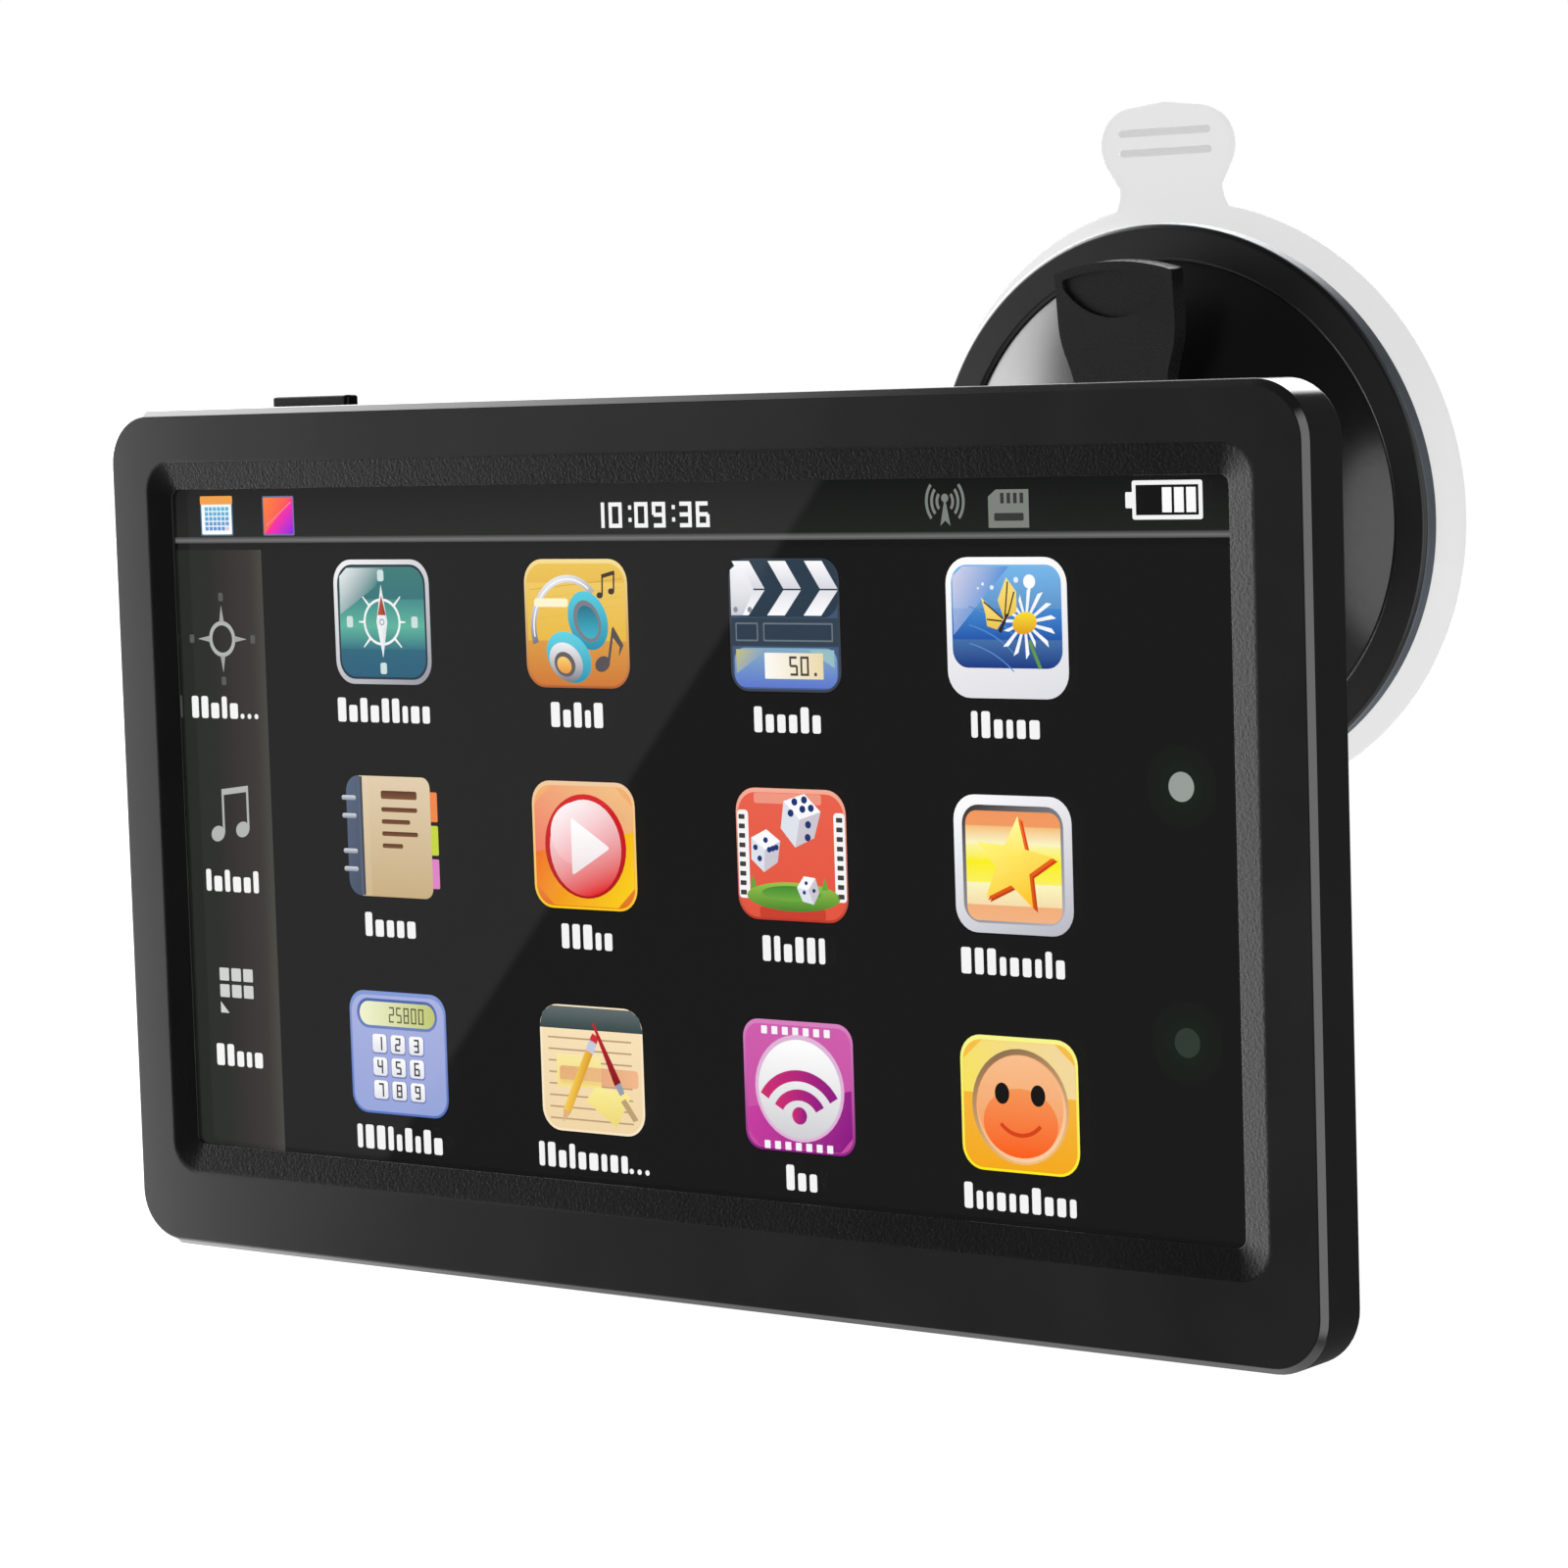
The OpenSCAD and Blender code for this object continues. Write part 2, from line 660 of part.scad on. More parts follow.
module suction_core() color("#dfe3e6") at_cup() turned() polygon([
    [0, core_low], [core_r - 0.5, core_low], [core_r, core_low + 0.5],
    [core_r, core_low + core_t], [0, core_low + core_t]
]);

// Stem moulded to the core, flattened into an eye where the lever's fork straddles it
module pull_stem() color("#d8d8d4") at_cup() difference() {
    union() {
        rod_y(stem_r, -pin_h, -core_low - core_t);
        translate([0, -pin_h, 0]) rod_x(stem_r, eye_w);
    }
    for (i = [-1, 1]) translate([i * (eye_w / 2 + stem_r), -well_floor - stem_r * 2, 0])
        cube([2 * stem_r, 4 * stem_r, 3 * stem_r], center = true);
    translate([0, -pin_h, 0]) rod_x(pin_r + fit_gap, 2 * eye_w);
}

module lever_pin() color("#b5b8ba") at_cup() translate([0, -pin_h, 0]) rod_x(pin_r, pin_l);

// Radius of the paddle's arched end
function arch_r() = let (half = paddle_w / 2, arch = paddle_top - paddle_z)
    (half * half + arch * arch) / (2 * arch);

// Plan of the lever, in [x, z], from its root to the paddle's arched end
module lever_plan() {
    half = paddle_w / 2;
    root = blade_w / 2;
    polygon([[-root, 0], [root, 0], [root, neck_z], [half - 0.4, shoulder_z], [half, paddle_z],
        [-half, paddle_z], [-half + 0.4, shoulder_z], [-root, neck_z]]);
    intersection() {
        translate([-half, paddle_z - eps]) square([paddle_w, paddle_top - paddle_z + 1]);
        translate([0, paddle_top - arch_r()]) circle(arch_r());
    }
}

// Cam outline about the pin, in [z, height]. Its reach towards the floor falls evenly as the
// lever opens, so the cam stays in touch with the floor while the stem sinks.
module cam_plan() {
    fall = core_travel / lever_open;
    lead = fall * 180 / PI;
    polygon(concat([[0, blade_top - pin_h], [8, blade_top - pin_h], [8, blade_low - pin_h]],
        [for (a = [0:5:lever_open]) let (h = cam_lock - fall * a)
            h * [-sin(a), -cos(a)] + lead * [cos(a), -sin(a)]]));
    circle(cam_lock - core_travel);
}

module lock_lever() color("#252526") at_cup() difference() {
    union() {
        slab(-blade_top, -blade_low) lever_plan();
        translate([0, -pin_h, 0]) side(blade_w) cam_plan();
    }
    // slot between the fork's ears, for the stem's eye
    translate([0, -pin_h, 0]) block(-fork_w / 2, fork_w / 2, -5, 9, -9, stem_r + 0.8);
    translate([0, -pin_h, 0]) rod_x(pin_r + fit_gap, case_w);
    // thumb recess in the paddle's face
    recess();
}

// Smile-shaped scoop under the paddle's arched end
module recess() slab(-blade_top - eps, -blade_top + recess_t) intersection() {
    half = paddle_w / 2 - recess_edge;
    translate([-half, 0]) square([2 * half, paddle_top]);
    translate([0, paddle_top - arch_r()]) circle(arch_r() - recess_edge);
    translate([0, grip_low + recess_r]) circle(recess_r);
}

front_bezel();
touch_panel();
lcd_panel();
backlight();
lcd_frame();
main_board();
cpu_shield();
battery();
battery_lead();
speaker();
gps_antenna();
usb_socket();
card_socket();
memory_card();
audio_jack();
display_flex();
power_switch();
power_button();
rear_cover();
case_screws();
cradle();
collar_nut();
friction_ring();
friction_cup();
ball_stud();
swing_arm();
arm_bolt();
arm_knob();
dome_housing();
suction_disc();
suction_core();
pull_stem();
lever_pin();
lock_lever();
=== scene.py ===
"""Looks of a portable navigator on its windshield suction mount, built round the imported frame.

Two local frames carry the shapes. The case frame has y = 0 on the front plane and its origin in
the middle of the case. The cup frame has y = 0 on the suction face, and the cup stands towards -y.
Lengths below are in millimetres, and MM turns them into metres.
"""

import json
import math
import random

import bmesh
import bpy
from mathutils import Matrix, Vector
from mathutils.geometry import tessellate_polygon


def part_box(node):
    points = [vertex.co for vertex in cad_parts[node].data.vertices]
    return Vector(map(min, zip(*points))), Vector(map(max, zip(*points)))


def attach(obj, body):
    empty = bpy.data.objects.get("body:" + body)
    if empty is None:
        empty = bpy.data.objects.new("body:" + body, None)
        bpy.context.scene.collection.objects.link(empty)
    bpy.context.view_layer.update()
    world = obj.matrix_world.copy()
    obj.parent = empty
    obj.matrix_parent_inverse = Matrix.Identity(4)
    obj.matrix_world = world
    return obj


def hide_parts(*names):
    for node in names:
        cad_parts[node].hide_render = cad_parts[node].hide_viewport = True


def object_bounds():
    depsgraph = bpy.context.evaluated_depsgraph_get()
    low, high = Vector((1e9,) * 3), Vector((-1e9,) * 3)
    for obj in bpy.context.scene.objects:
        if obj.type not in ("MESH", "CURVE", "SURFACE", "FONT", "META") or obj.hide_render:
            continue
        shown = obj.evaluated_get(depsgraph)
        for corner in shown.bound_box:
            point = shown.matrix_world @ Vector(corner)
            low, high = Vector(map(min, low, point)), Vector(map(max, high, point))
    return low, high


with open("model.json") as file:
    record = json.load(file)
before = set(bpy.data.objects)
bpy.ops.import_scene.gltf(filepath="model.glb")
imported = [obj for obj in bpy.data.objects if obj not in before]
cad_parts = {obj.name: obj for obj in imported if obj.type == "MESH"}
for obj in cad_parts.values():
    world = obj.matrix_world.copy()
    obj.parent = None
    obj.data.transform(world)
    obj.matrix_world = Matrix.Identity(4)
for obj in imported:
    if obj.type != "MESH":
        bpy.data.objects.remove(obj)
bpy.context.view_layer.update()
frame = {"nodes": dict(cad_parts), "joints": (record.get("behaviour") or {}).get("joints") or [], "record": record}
RECORD = frame["record"]
MM = 0.001


def case_frame():
    low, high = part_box("front_bezel")
    return Matrix.Translation(((low.x + high.x) / 2, low.y, (low.z + high.z) / 2))


def cup_frame():
    mount = next(m for m in RECORD["mounts"] if m["name"] == "suction_face")
    joint = next(j for j in frame["joints"] if j["name"] == "lever_turn")
    across, inwards = Vector(joint["axis"]).normalized(), Vector(mount["axis"]).normalized()
    made = Matrix((across, inwards, across.cross(inwards))).transposed().to_4x4()
    made.translation = Vector(mount["pos_m"])
    return made


CASE = case_frame()
CUP = cup_frame()


# ---- materials ----------------------------------------------------------------------------


def srgb(value):
    """A grey or colour as it shows on screen, 0 to 255, as linear light."""
    shares = [value] * 3 if isinstance(value, (int, float)) else value
    return [
        s / 255 / 12.92 if s / 255 <= 0.04045 else ((s / 255 + 0.055) / 1.055) ** 2.4
        for s in shares
    ]


def shader(name):
    made = bpy.data.materials.new(name)
    made.use_nodes = True
    return made, made.node_tree, made.node_tree.nodes["Principled BSDF"]


def set_inputs(bsdf, values):
    for key, value in values.items():
        bsdf.inputs[key].default_value = value


def noise(tree, scale, detail=2.0, rough=0.5):
    where = tree.nodes.new("ShaderNodeTexCoord")
    made = tree.nodes.new("ShaderNodeTexNoise")
    set_inputs(made, {"Scale": scale, "Detail": detail, "Roughness": rough})
    tree.links.new(where.outputs["Object"], made.inputs["Vector"])
    return made.outputs["Fac"]


def remap(tree, source, low, high):
    """The usual span of a noise, stretched to run from low to high."""
    made = tree.nodes.new("ShaderNodeMapRange")
    set_inputs(made, {"From Min": 0.3, "From Max": 0.7, "To Min": low, "To Max": high})
    tree.links.new(source, made.inputs["Value"])
    return made.outputs["Result"]


def two_tone(tree, source, dark, light):
    ramp = tree.nodes.new("ShaderNodeValToRGB")
    ramp.color_ramp.elements[0].position = 0.35
    ramp.color_ramp.elements[0].color = (*dark, 1)
    ramp.color_ramp.elements[1].position = 0.65
    ramp.color_ramp.elements[1].color = (*light, 1)
    tree.links.new(source, ramp.inputs["Fac"])
    return ramp.outputs["Color"]


def bump(tree, source, height_mm, bsdf):
    made = tree.nodes.new("ShaderNodeBump")
    set_inputs(made, {"Strength": 1.0, "Distance": height_mm * MM})
    tree.links.new(source, made.inputs["Height"])
    tree.links.new(made.outputs["Normal"], bsdf.inputs["Normal"])


def moulded(name, colour, rough, grain_mm, grain_height_mm, spread=0.15, **sockets):
    """Moulded plastic: fine grain of a stated size, with slight drift of tone and gloss."""
    made, tree, bsdf = shader(name)
    drift = noise(tree, 60, 4)
    dark, light = ([c * k for c in colour] for k in (1 - spread, 1 + spread))
    tree.links.new(two_tone(tree, drift, dark, light), bsdf.inputs["Base Color"])
    grain = noise(tree, 1 / (grain_mm * MM), 3, 0.6)
    tree.links.new(remap(tree, grain, rough * 0.9, rough * 1.1), bsdf.inputs["Roughness"])
    bump(tree, grain, grain_height_mm, bsdf)
    set_inputs(bsdf, sockets)
    return made


STREAK_MM, STREAK_LENGTHS = 0.3, 8


def metal(name, colour, rough):
    """Sheet or turned metal with fine streaks along one axis."""
    made, tree, bsdf = shader(name)
    where = tree.nodes.new("ShaderNodeTexCoord")
    stretch = tree.nodes.new("ShaderNodeMapping")
    stretch.inputs["Scale"].default_value = (1, STREAK_LENGTHS, STREAK_LENGTHS)
    tree.links.new(where.outputs["Object"], stretch.inputs["Vector"])
    streaks = tree.nodes.new("ShaderNodeTexNoise")
    set_inputs(streaks, {"Scale": 1 / (STREAK_MM * MM) / STREAK_LENGTHS, "Detail": 4.0})
    tree.links.new(stretch.outputs["Vector"], streaks.inputs["Vector"])
    source = streaks.outputs["Fac"]
    dark, light = ([c * k for c in colour] for k in (0.85, 1.1))
    tree.links.new(two_tone(tree, source, dark, light), bsdf.inputs["Base Color"])
    tree.links.new(remap(tree, source, rough * 0.8, rough * 1.25), bsdf.inputs["Roughness"])
    bump(tree, source, 0.004, bsdf)
    set_inputs(bsdf, {"Metallic": 1.0})
    return made


# Share of the light that one surface of the clear plastic, or of the tinted glass, holds back.
VINYL_ALPHA, GLASS_ALPHA = 0.165, 0.3


def clear_vinyl():
    """Clear soft plastic: each surface takes away a little of what lies behind it."""
    made, tree, bsdf = shader("clear_vinyl")
    drift = noise(tree, 35, 2)
    tree.links.new(two_tone(tree, drift, [0.26] * 3, [0.3] * 3), bsdf.inputs["Base Color"])
    tree.links.new(remap(tree, drift, 0.2, 0.3), bsdf.inputs["Roughness"])
    bump(tree, noise(tree, 900, 2), 0.003, bsdf)
    set_inputs(bsdf, {"Alpha": VINYL_ALPHA, "IOR": 1.4})
    return made


def tinted_glass():
    """The dark cover glass: it mirrors the studio and dims the picture behind it."""
    made, tree, bsdf = shader("tinted_glass")
    drift = noise(tree, 20, 2)
    tree.links.new(two_tone(tree, drift, [0.004] * 3, [0.0045] * 3), bsdf.inputs["Base Color"])
    tree.links.new(remap(tree, noise(tree, 400, 2), 0.004, 0.008), bsdf.inputs["Roughness"])
    set_inputs(bsdf, {"Alpha": GLASS_ALPHA, "IOR": 1.9, "Specular IOR Level": 0.7})
    return made


def lit_picture():
    """The display's own light: each shape's corners carry their colours."""
    made, tree, bsdf = shader("lit_picture")
    paint = tree.nodes.new("ShaderNodeVertexColor")
    paint.layer_name = "Paint"
    tree.links.new(paint.outputs["Color"], bsdf.inputs["Emission Color"])
    set_inputs(
        bsdf,
        {
            "Base Color": (0.002, 0.002, 0.002, 1),
            "Emission Strength": 1 / (1 - GLASS_ALPHA) ** 2,
            "Specular IOR Level": 0.0,
            "Roughness": 0.8,
        },
    )
    return made


def gloss(level):
    return {"Specular IOR Level": level}


def make_materials():
    black = [0.0075, 0.0075, 0.0078]
    soft = gloss(0.5)
    return {
        "bezel": moulded("bezel_satin", [0.0112] * 3, 0.12, 0.3, 0.0011, **gloss(0.7)),
        # The window's sloping bevel has a coarser grain, which is real, and a base colour about half the front's,
        # which is painted shade for the recess.
        "slope": moulded("slope_grain_and_shade", [0.006] * 3, 0.24, 0.42, 0.045, **gloss(0.09)),
        "back": moulded("back_grain", black, 0.42, 0.3, 0.012, **soft),
        "button": moulded("button_satin", [0.005] * 3, 0.25, 0.3, 0.003, **gloss(0.14)),
        "mount": moulded("mount_grain", black, 0.4, 0.3, 0.008, **soft),
        "lever": moulded("lever_satin", [0.0075] * 3, 0.26, 0.2, 0.0004, **gloss(0.4)),
        "ring": moulded("ring_matte", [0.005] * 3, 0.32, 0.3, 0.005, **gloss(0.4)),
        # The rim's side of the black housing: a lighter bluish grey that is a painted reflection, not the
        # plastic's own colour.
        "rim": moulded("rim_painted_reflection", [0.12, 0.14, 0.165], 0.35, 0.3, 0.003, **soft),
        "dome": moulded("dome_gloss", [0.003] * 3, 0.24, 0.8, 0.0008, **soft),
        "liner": moulded("liner_acetal", [0.1, 0.097, 0.09], 0.45, 0.4, 0.004),
        "ball": moulded("ball_polish", [0.006] * 3, 0.12, 0.8, 0.0006),
        "white": moulded("white_satin", [0.62, 0.62, 0.6], 0.4, 0.4, 0.003),
        "jack": moulded("jack_satin", [0.012] * 3, 0.4, 0.3, 0.003),
        "board": moulded("solder_mask", [0.008, 0.075, 0.035], 0.3, 0.7, 0.006),
        "foil": moulded("pouch_foil", [0.45, 0.46, 0.43], 0.38, 1.2, 0.02, Metallic=0.8),
        "lead": moulded("lead_jacket", [0.25, 0.012, 0.012], 0.4, 0.4, 0.003),
        "ceramic": moulded("fired_ceramic", [0.5, 0.42, 0.28], 0.55, 0.25, 0.01),
        "amber": moulded("amber_film", [0.35, 0.13, 0.025], 0.3, 0.6, 0.002),
        "panel": moulded("dark_panel", [0.0035] * 3, 0.5, 0.5, 0.001, **gloss(0.1)),
        "steel": metal("rolled_steel", [0.42, 0.43, 0.44], 0.35),
        "tin": metal("bright_tin", [0.6, 0.6, 0.6], 0.25),
        "zinc": metal("zinc_plate", [0.38, 0.39, 0.4], 0.3),
        "black_screw": metal("blackened_steel", [0.07, 0.072, 0.075], 0.35),
        "pin": metal("ground_pin", [0.55, 0.55, 0.56], 0.2),
        "vinyl": clear_vinyl(),
        "glass": tinted_glass(),
        "picture": lit_picture(),
    }


MATERIALS = make_materials()

CAD_MATERIALS = {
    "touch_panel": "glass",
    "lcd_panel": "panel",
    "backlight": "white",
    "lcd_frame": "steel",
    "main_board": "board",
    "cpu_shield": "tin",
    "battery": "foil",
    "battery_lead": "lead",
    "speaker": "jack",
    "gps_antenna": "ceramic",
    "usb_socket": "tin",
    "card_socket": "tin",
    "memory_card": "jack",
    "audio_jack": "jack",
    "display_flex": "amber",
    "power_switch": "tin",
    "case_screws": "black_screw",
    "friction_ring": "liner",
    "friction_cup": "liner",
    "ball_stud": "ball",
    "arm_bolt": "zinc",
    "suction_core": "vinyl",
    "pull_stem": "white",
    "lever_pin": "pin",
}


def dress_cad():
    for node, key in CAD_MATERIALS.items():
        data = frame["nodes"][node].data
        data.materials.clear()
        data.materials.append(MATERIALS[key])


# ---- mesh helpers -------------------------------------------------------------------------


def mesh_object(name, verts, faces, place):
    """A mesh from points in millimetres of a local frame, with its normals facing out."""
    data = bpy.data.meshes.new(name)
    data.from_pydata([[c * MM for c in v] for v in verts], [], faces)
    shape = bmesh.new()
    shape.from_mesh(data)
    bmesh.ops.remove_doubles(shape, verts=shape.verts, dist=1e-7)
    bmesh.ops.recalc_face_normals(shape, faces=shape.faces)
    shape.to_mesh(data)
    shape.free()
    made = bpy.data.objects.new(name, data)
    bpy.context.scene.collection.objects.link(made)
    made.matrix_world = place
    return made


def loft(rings, closed):
    """Faces between rings of equal length: closed joins the last to the first, else the ends are capped."""
    count = len(rings[0])
    verts = [p for ring in rings for p in ring]
    steps = len(rings) if closed else len(rings) - 1
    faces = []
    for i in range(steps):
        a, b = i * count, (i + 1) % len(rings) * count
        for j in range(count):
            k = (j + 1) % count
            faces.append((a + j, a + k, b + k, b + j))
    if not closed:
        faces.append(tuple(range(count - 1, -1, -1)))
        faces.append(tuple(range((len(rings) - 1) * count, len(rings) * count)))
    return verts, faces


CORNER_STEPS = 12


def rect_ring(width, height, radius, centre_z, y):
    """Points round a rounded rectangle that lies in a plane of constant y."""
    points = []
    for corner in range(4):
        sx, sz = ((1, 1), (-1, 1), (-1, -1), (1, -1))[corner]
        for i in range(CORNER_STEPS + 1):
            a = math.radians(90 * (corner + i / CORNER_STEPS))
            points.append(
                (
                    sx * (width / 2 - radius) + radius * math.cos(a),
                    y,
                    centre_z + sz * (height / 2 - radius) + radius * math.sin(a),
                )
            )
    return points


def soften(stations, closed, steps=4):
    """Rounds a profile's corners. A station is (numbers, rounding); numbers end with the depth y."""
    out = []
    count = len(stations)
    for i, (here, rounding) in enumerate(stations):
        ends = not closed and i in (0, count - 1)
        if rounding <= 0 or ends:
            out.append(here)
            continue
        before, after = stations[i - 1][0], stations[(i + 1) % count][0]
        near = []
        for other in (before, after):
            run = math.hypot((other[0] - here[0]) / 2, other[-1] - here[-1])
            share = min(0.5, rounding / run)
            near.append([h + (o - h) * share for h, o in zip(here, other)])
        for k in range(steps + 1):
            t = k / steps
            out.append(
                [
                    (1 - t) ** 2 * a + 2 * t * (1 - t) * h + t * t * b
                    for a, h, b in zip(near[0], here, near[1])
                ]
            )
    return out


def rect_loft(name, stations, closed, place):
    """Rounded rectangles joined along the depth, with the profile's corners rounded."""
    rings = [rect_ring(*s) for s in soften(stations, closed)]
    return mesh_object(name, *loft(rings, closed), place)


def turned(name, stations, place, segments=192, closed=True):
    """A profile of (radius, height) turned about the local y axis; height runs towards -y."""
    rounded = soften([([2 * r, 0.0, -h], b) for (r, h, b) in stations], closed)
    rings = []
    for double_r, _, y in rounded:
        r = double_r / 2
        rings.append(
            [
                (r * math.cos(2 * math.pi * j / segments), y, r * math.sin(2 * math.pi * j / segments))
                for j in range(segments)
            ]
        )
    return mesh_object(name, *loft(rings, closed), place)


def prism(name, outline, y0, y1, place):
    """A plan of (x, z) points with straight sides from depth y0 to depth y1."""
    rings = [[(x, y, z) for x, z in outline] for y in (y0, y1)]
    return mesh_object(name, *loft(rings, False), place)


def box_mesh(name, x, y, z, place):
    """A block from (low, high) pairs, used as a cutter."""
    outline = [(x[0], z[0]), (x[1], z[0]), (x[1], z[1]), (x[0], z[1])]
    return prism(name, outline, y[0], y[1], place)


def circle(cx, cz, r, steps=48, start=0.0, end=360.0):
    count = steps if end - start >= 360 else steps + 1
    return [
        (
            cx + r * math.cos(math.radians(start + (end - start) * i / steps)),
            cz + r * math.sin(math.radians(start + (end - start) * i / steps)),
        )
        for i in range(count)
    ]


def rod_x(name, y, z, r, x0, x1, place, steps=48):
    rings = [[(x, y + a, z + b) for a, b in circle(0, 0, r, steps)] for x in (x0, x1)]
    return mesh_object(name, *loft(rings, False), place)


def rod_y(name, x, z, r, y0, y1, place, steps=48):
    return prism(name, circle(x, z, r, steps), y0, y1, place)


def applied(obj):
    """Bakes an object's modifiers into its mesh."""
    bpy.context.view_layer.update()
    evaluated = obj.evaluated_get(bpy.context.evaluated_depsgraph_get())
    data = bpy.data.meshes.new_from_object(evaluated)
    old = obj.data
    obj.modifiers.clear()
    obj.data = data
    bpy.data.meshes.remove(old)
    return obj


def combine(obj, others, operation):
    """Boolean with each of the other solids in turn; they are used up."""
    for other in others:
        step = obj.modifiers.new("combine", "BOOLEAN")
        step.operation = operation
        step.solver = "EXACT"
        step.object = other
        applied(obj)
        bpy.data.objects.remove(other)
    return obj


def joined(name, objects):
    """Several separate solids as one mesh."""
    verts, faces = [], []
    for o in objects:
        start = len(verts)
        verts += [o.matrix_world @ v.co for v in o.data.vertices]
        faces += [[start + i for i in p.vertices] for p in o.data.polygons]
        bpy.data.objects.remove(o)
    data = bpy.data.meshes.new(name)
    data.from_pydata(verts, [], faces)
    made = bpy.data.objects.new(name, data)
    bpy.context.scene.collection.objects.link(made)
    return made


def bevelled(obj, width_mm, segments=3, angle=35):
    """The object with its sharp edges rounded off."""
    step = obj.modifiers.new("bevel", "BEVEL")
    step.width = width_mm * MM
    step.segments = segments
    step.limit_method = "ANGLE"
    step.angle_limit = math.radians(angle)
    step.harden_normals = False
    return applied(obj)


def along_row(obj):
    """The object's placing moves into its mesh, so that its box lies along the row frame's axes."""
    obj.data.transform(obj.matrix_world)
    obj.matrix_world = Matrix.Identity(4)


def finished(obj, material, body, replaced=(), sharp=32):
    """Smooth shading with flat faces kept flat, then material and body, and the replaced parts hidden."""
    data = obj.data
    data.materials.clear()
    for key in [material] if isinstance(material, str) else material:
        data.materials.append(MATERIALS[key])
    data.shade_smooth()
    data.set_sharp_from_angle(angle=math.radians(sharp))
    step = obj.modifiers.new("normals", "WEIGHTED_NORMAL")
    step.keep_sharp = True
    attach(obj, body)
    if replaced:
        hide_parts(*replaced)
    return obj


# ---- navigator case -----------------------------------------------------------------------

CASE_W, CASE_H, CASE_D, CORNER = 184.0, 110.9, 13.6, 7.0
WINDOW_W, WINDOW_H, WINDOW_Z = 162.7, 86.6, 1.7
BEVEL_W, BEVEL_D, CHAMFER = 3.6, 0.8, 0.8
BEZEL_D, SIDE_WALL, BACK_WALL = 7.5, 1.8, 1.6
GLASS_Y, PANEL_Y = 1.2, 2.4


def plan(inset, y, radius=None):
    """A station of the case's outline, drawn in by inset."""
    r = CORNER - inset if radius is None else radius
    return [CASE_W - 2 * inset, CASE_H - 2 * inset, r, 0.0, y]


def window(grow, radius, y):
    """A station of the screen's opening, widened by grow."""
    return [WINDOW_W + 2 * grow, WINDOW_H + 2 * grow, radius, WINDOW_Z, y]


BUTTON_X, BUTTON_Y, BUTTON_L, BUTTON_T, BUTTON_PROUD = -58.6, 4.6, 14.8, 2.6, 1.3
BUTTON_GAP, BUTTON_STEP, BUTTON_EDGE, BUTTON_FLANGE = 0.15, 1.3, 0.35, 0.8


def make_bezel():
    shell = rect_loft(
        "bezel_shell",
        [
            (window(0, 1.2, BEVEL_D), 0.1),
            (window(BEVEL_W, 4, 0), 0.3),
            (plan(CHAMFER, 0), 0.12),
            (plan(0, CHAMFER), 0.12),
            (plan(0, BEZEL_D), 0.15),
            (plan(SIDE_WALL, BEZEL_D), 0.1),
            (plan(SIDE_WALL, PANEL_Y - 0.1), 0),
            (window(1.7, 0.6, PANEL_Y - 0.1), 0),
            (window(1.7, 0.6, GLASS_Y), 0),
            (window(0, 1.2, GLASS_Y), 0),
        ],
        True,
        CASE,
    )
    half_l, half_t = BUTTON_L / 2 + BUTTON_GAP, BUTTON_T / 2 + BUTTON_GAP
    slot = box_mesh(
        "slot",
        (BUTTON_X - half_l, BUTTON_X + half_l),
        (BUTTON_Y - half_t, BUTTON_Y + half_t),
        (CASE_H / 2 - 4, CASE_H / 2 + 4),
        CASE,
    )
    combine(shell, [slot], "DIFFERENCE")
    finished(shell, ["bezel", "slope"], "navigator", ["front_bezel"])
    reach_x, reach_z = WINDOW_W / 2 + BEVEL_W, WINDOW_H / 2 + BEVEL_W
    # Faces of the window's slope take the second material: real coarse grain and a darker base colour that is
    # painted shade.
    for face in shell.data.polygons:
        c = face.center / MM
        sloping = 0.02 < c.y < GLASS_Y and abs(face.normal.y) > 0.5
        inside = abs(c.x) < reach_x and abs(c.z - WINDOW_Z) < reach_z
        if sloping and inside:
            face.material_index = 1


def make_button():
    """Pill-shaped cap of the power button, with a soft rounded top, and its hidden flange."""
    top = CASE_H / 2 + BUTTON_PROUD
    low = CASE_H / 2 - SIDE_WALL - BUTTON_FLANGE - 0.05
    thin = BUTTON_T - 0.3

    def ring(length, depth, radius, z):
        return [
            (BUTTON_X + x, BUTTON_Y + y, z)
            for x, _, y in rect_ring(length, depth, radius, 0, 0)
        ]

    stations = [
        ring(BUTTON_L + 2, BUTTON_T + 1, 0.9, low),
        ring(BUTTON_L + 2, BUTTON_T + 1, 0.9, low + BUTTON_FLANGE),
        ring(BUTTON_L, BUTTON_T, 0.7, low + BUTTON_FLANGE),
        ring(BUTTON_L, BUTTON_T, 0.7, CASE_H / 2 - 0.35),
        ring(BUTTON_L - BUTTON_STEP, thin, 0.7, CASE_H / 2 - 0.15),
    ]
    for k in range(6):
        a = math.radians(90 * k / 5)
        inset = BUTTON_EDGE * (1 - math.cos(a))
        height = top - BUTTON_EDGE * (1 - math.sin(a))
        length = BUTTON_L - BUTTON_STEP - 2 * inset
        stations.append(ring(length, thin - 2 * inset, 0.7 - inset * 0.6, height))
    cap = mesh_object("button_cap", *loft(stations, False), CASE)
    finished(cap, "button", "power_button", ["power_button"])


SCREWS = [(x, z) for x in (-79, 79) for z in (-42, 46)]
HOOKS = [(x, 10 + z) for x in (-34, 34) for z in (-16, 16)]
SPEAKER_X, SPEAKER_Z = 64, -27
LIFT = 9


SPEAKER_SLITS, SLIT_HALF, SLIT_R = range(-4, 5), 8.0, 0.5
SIDE_CUT = (-95, -83.2)


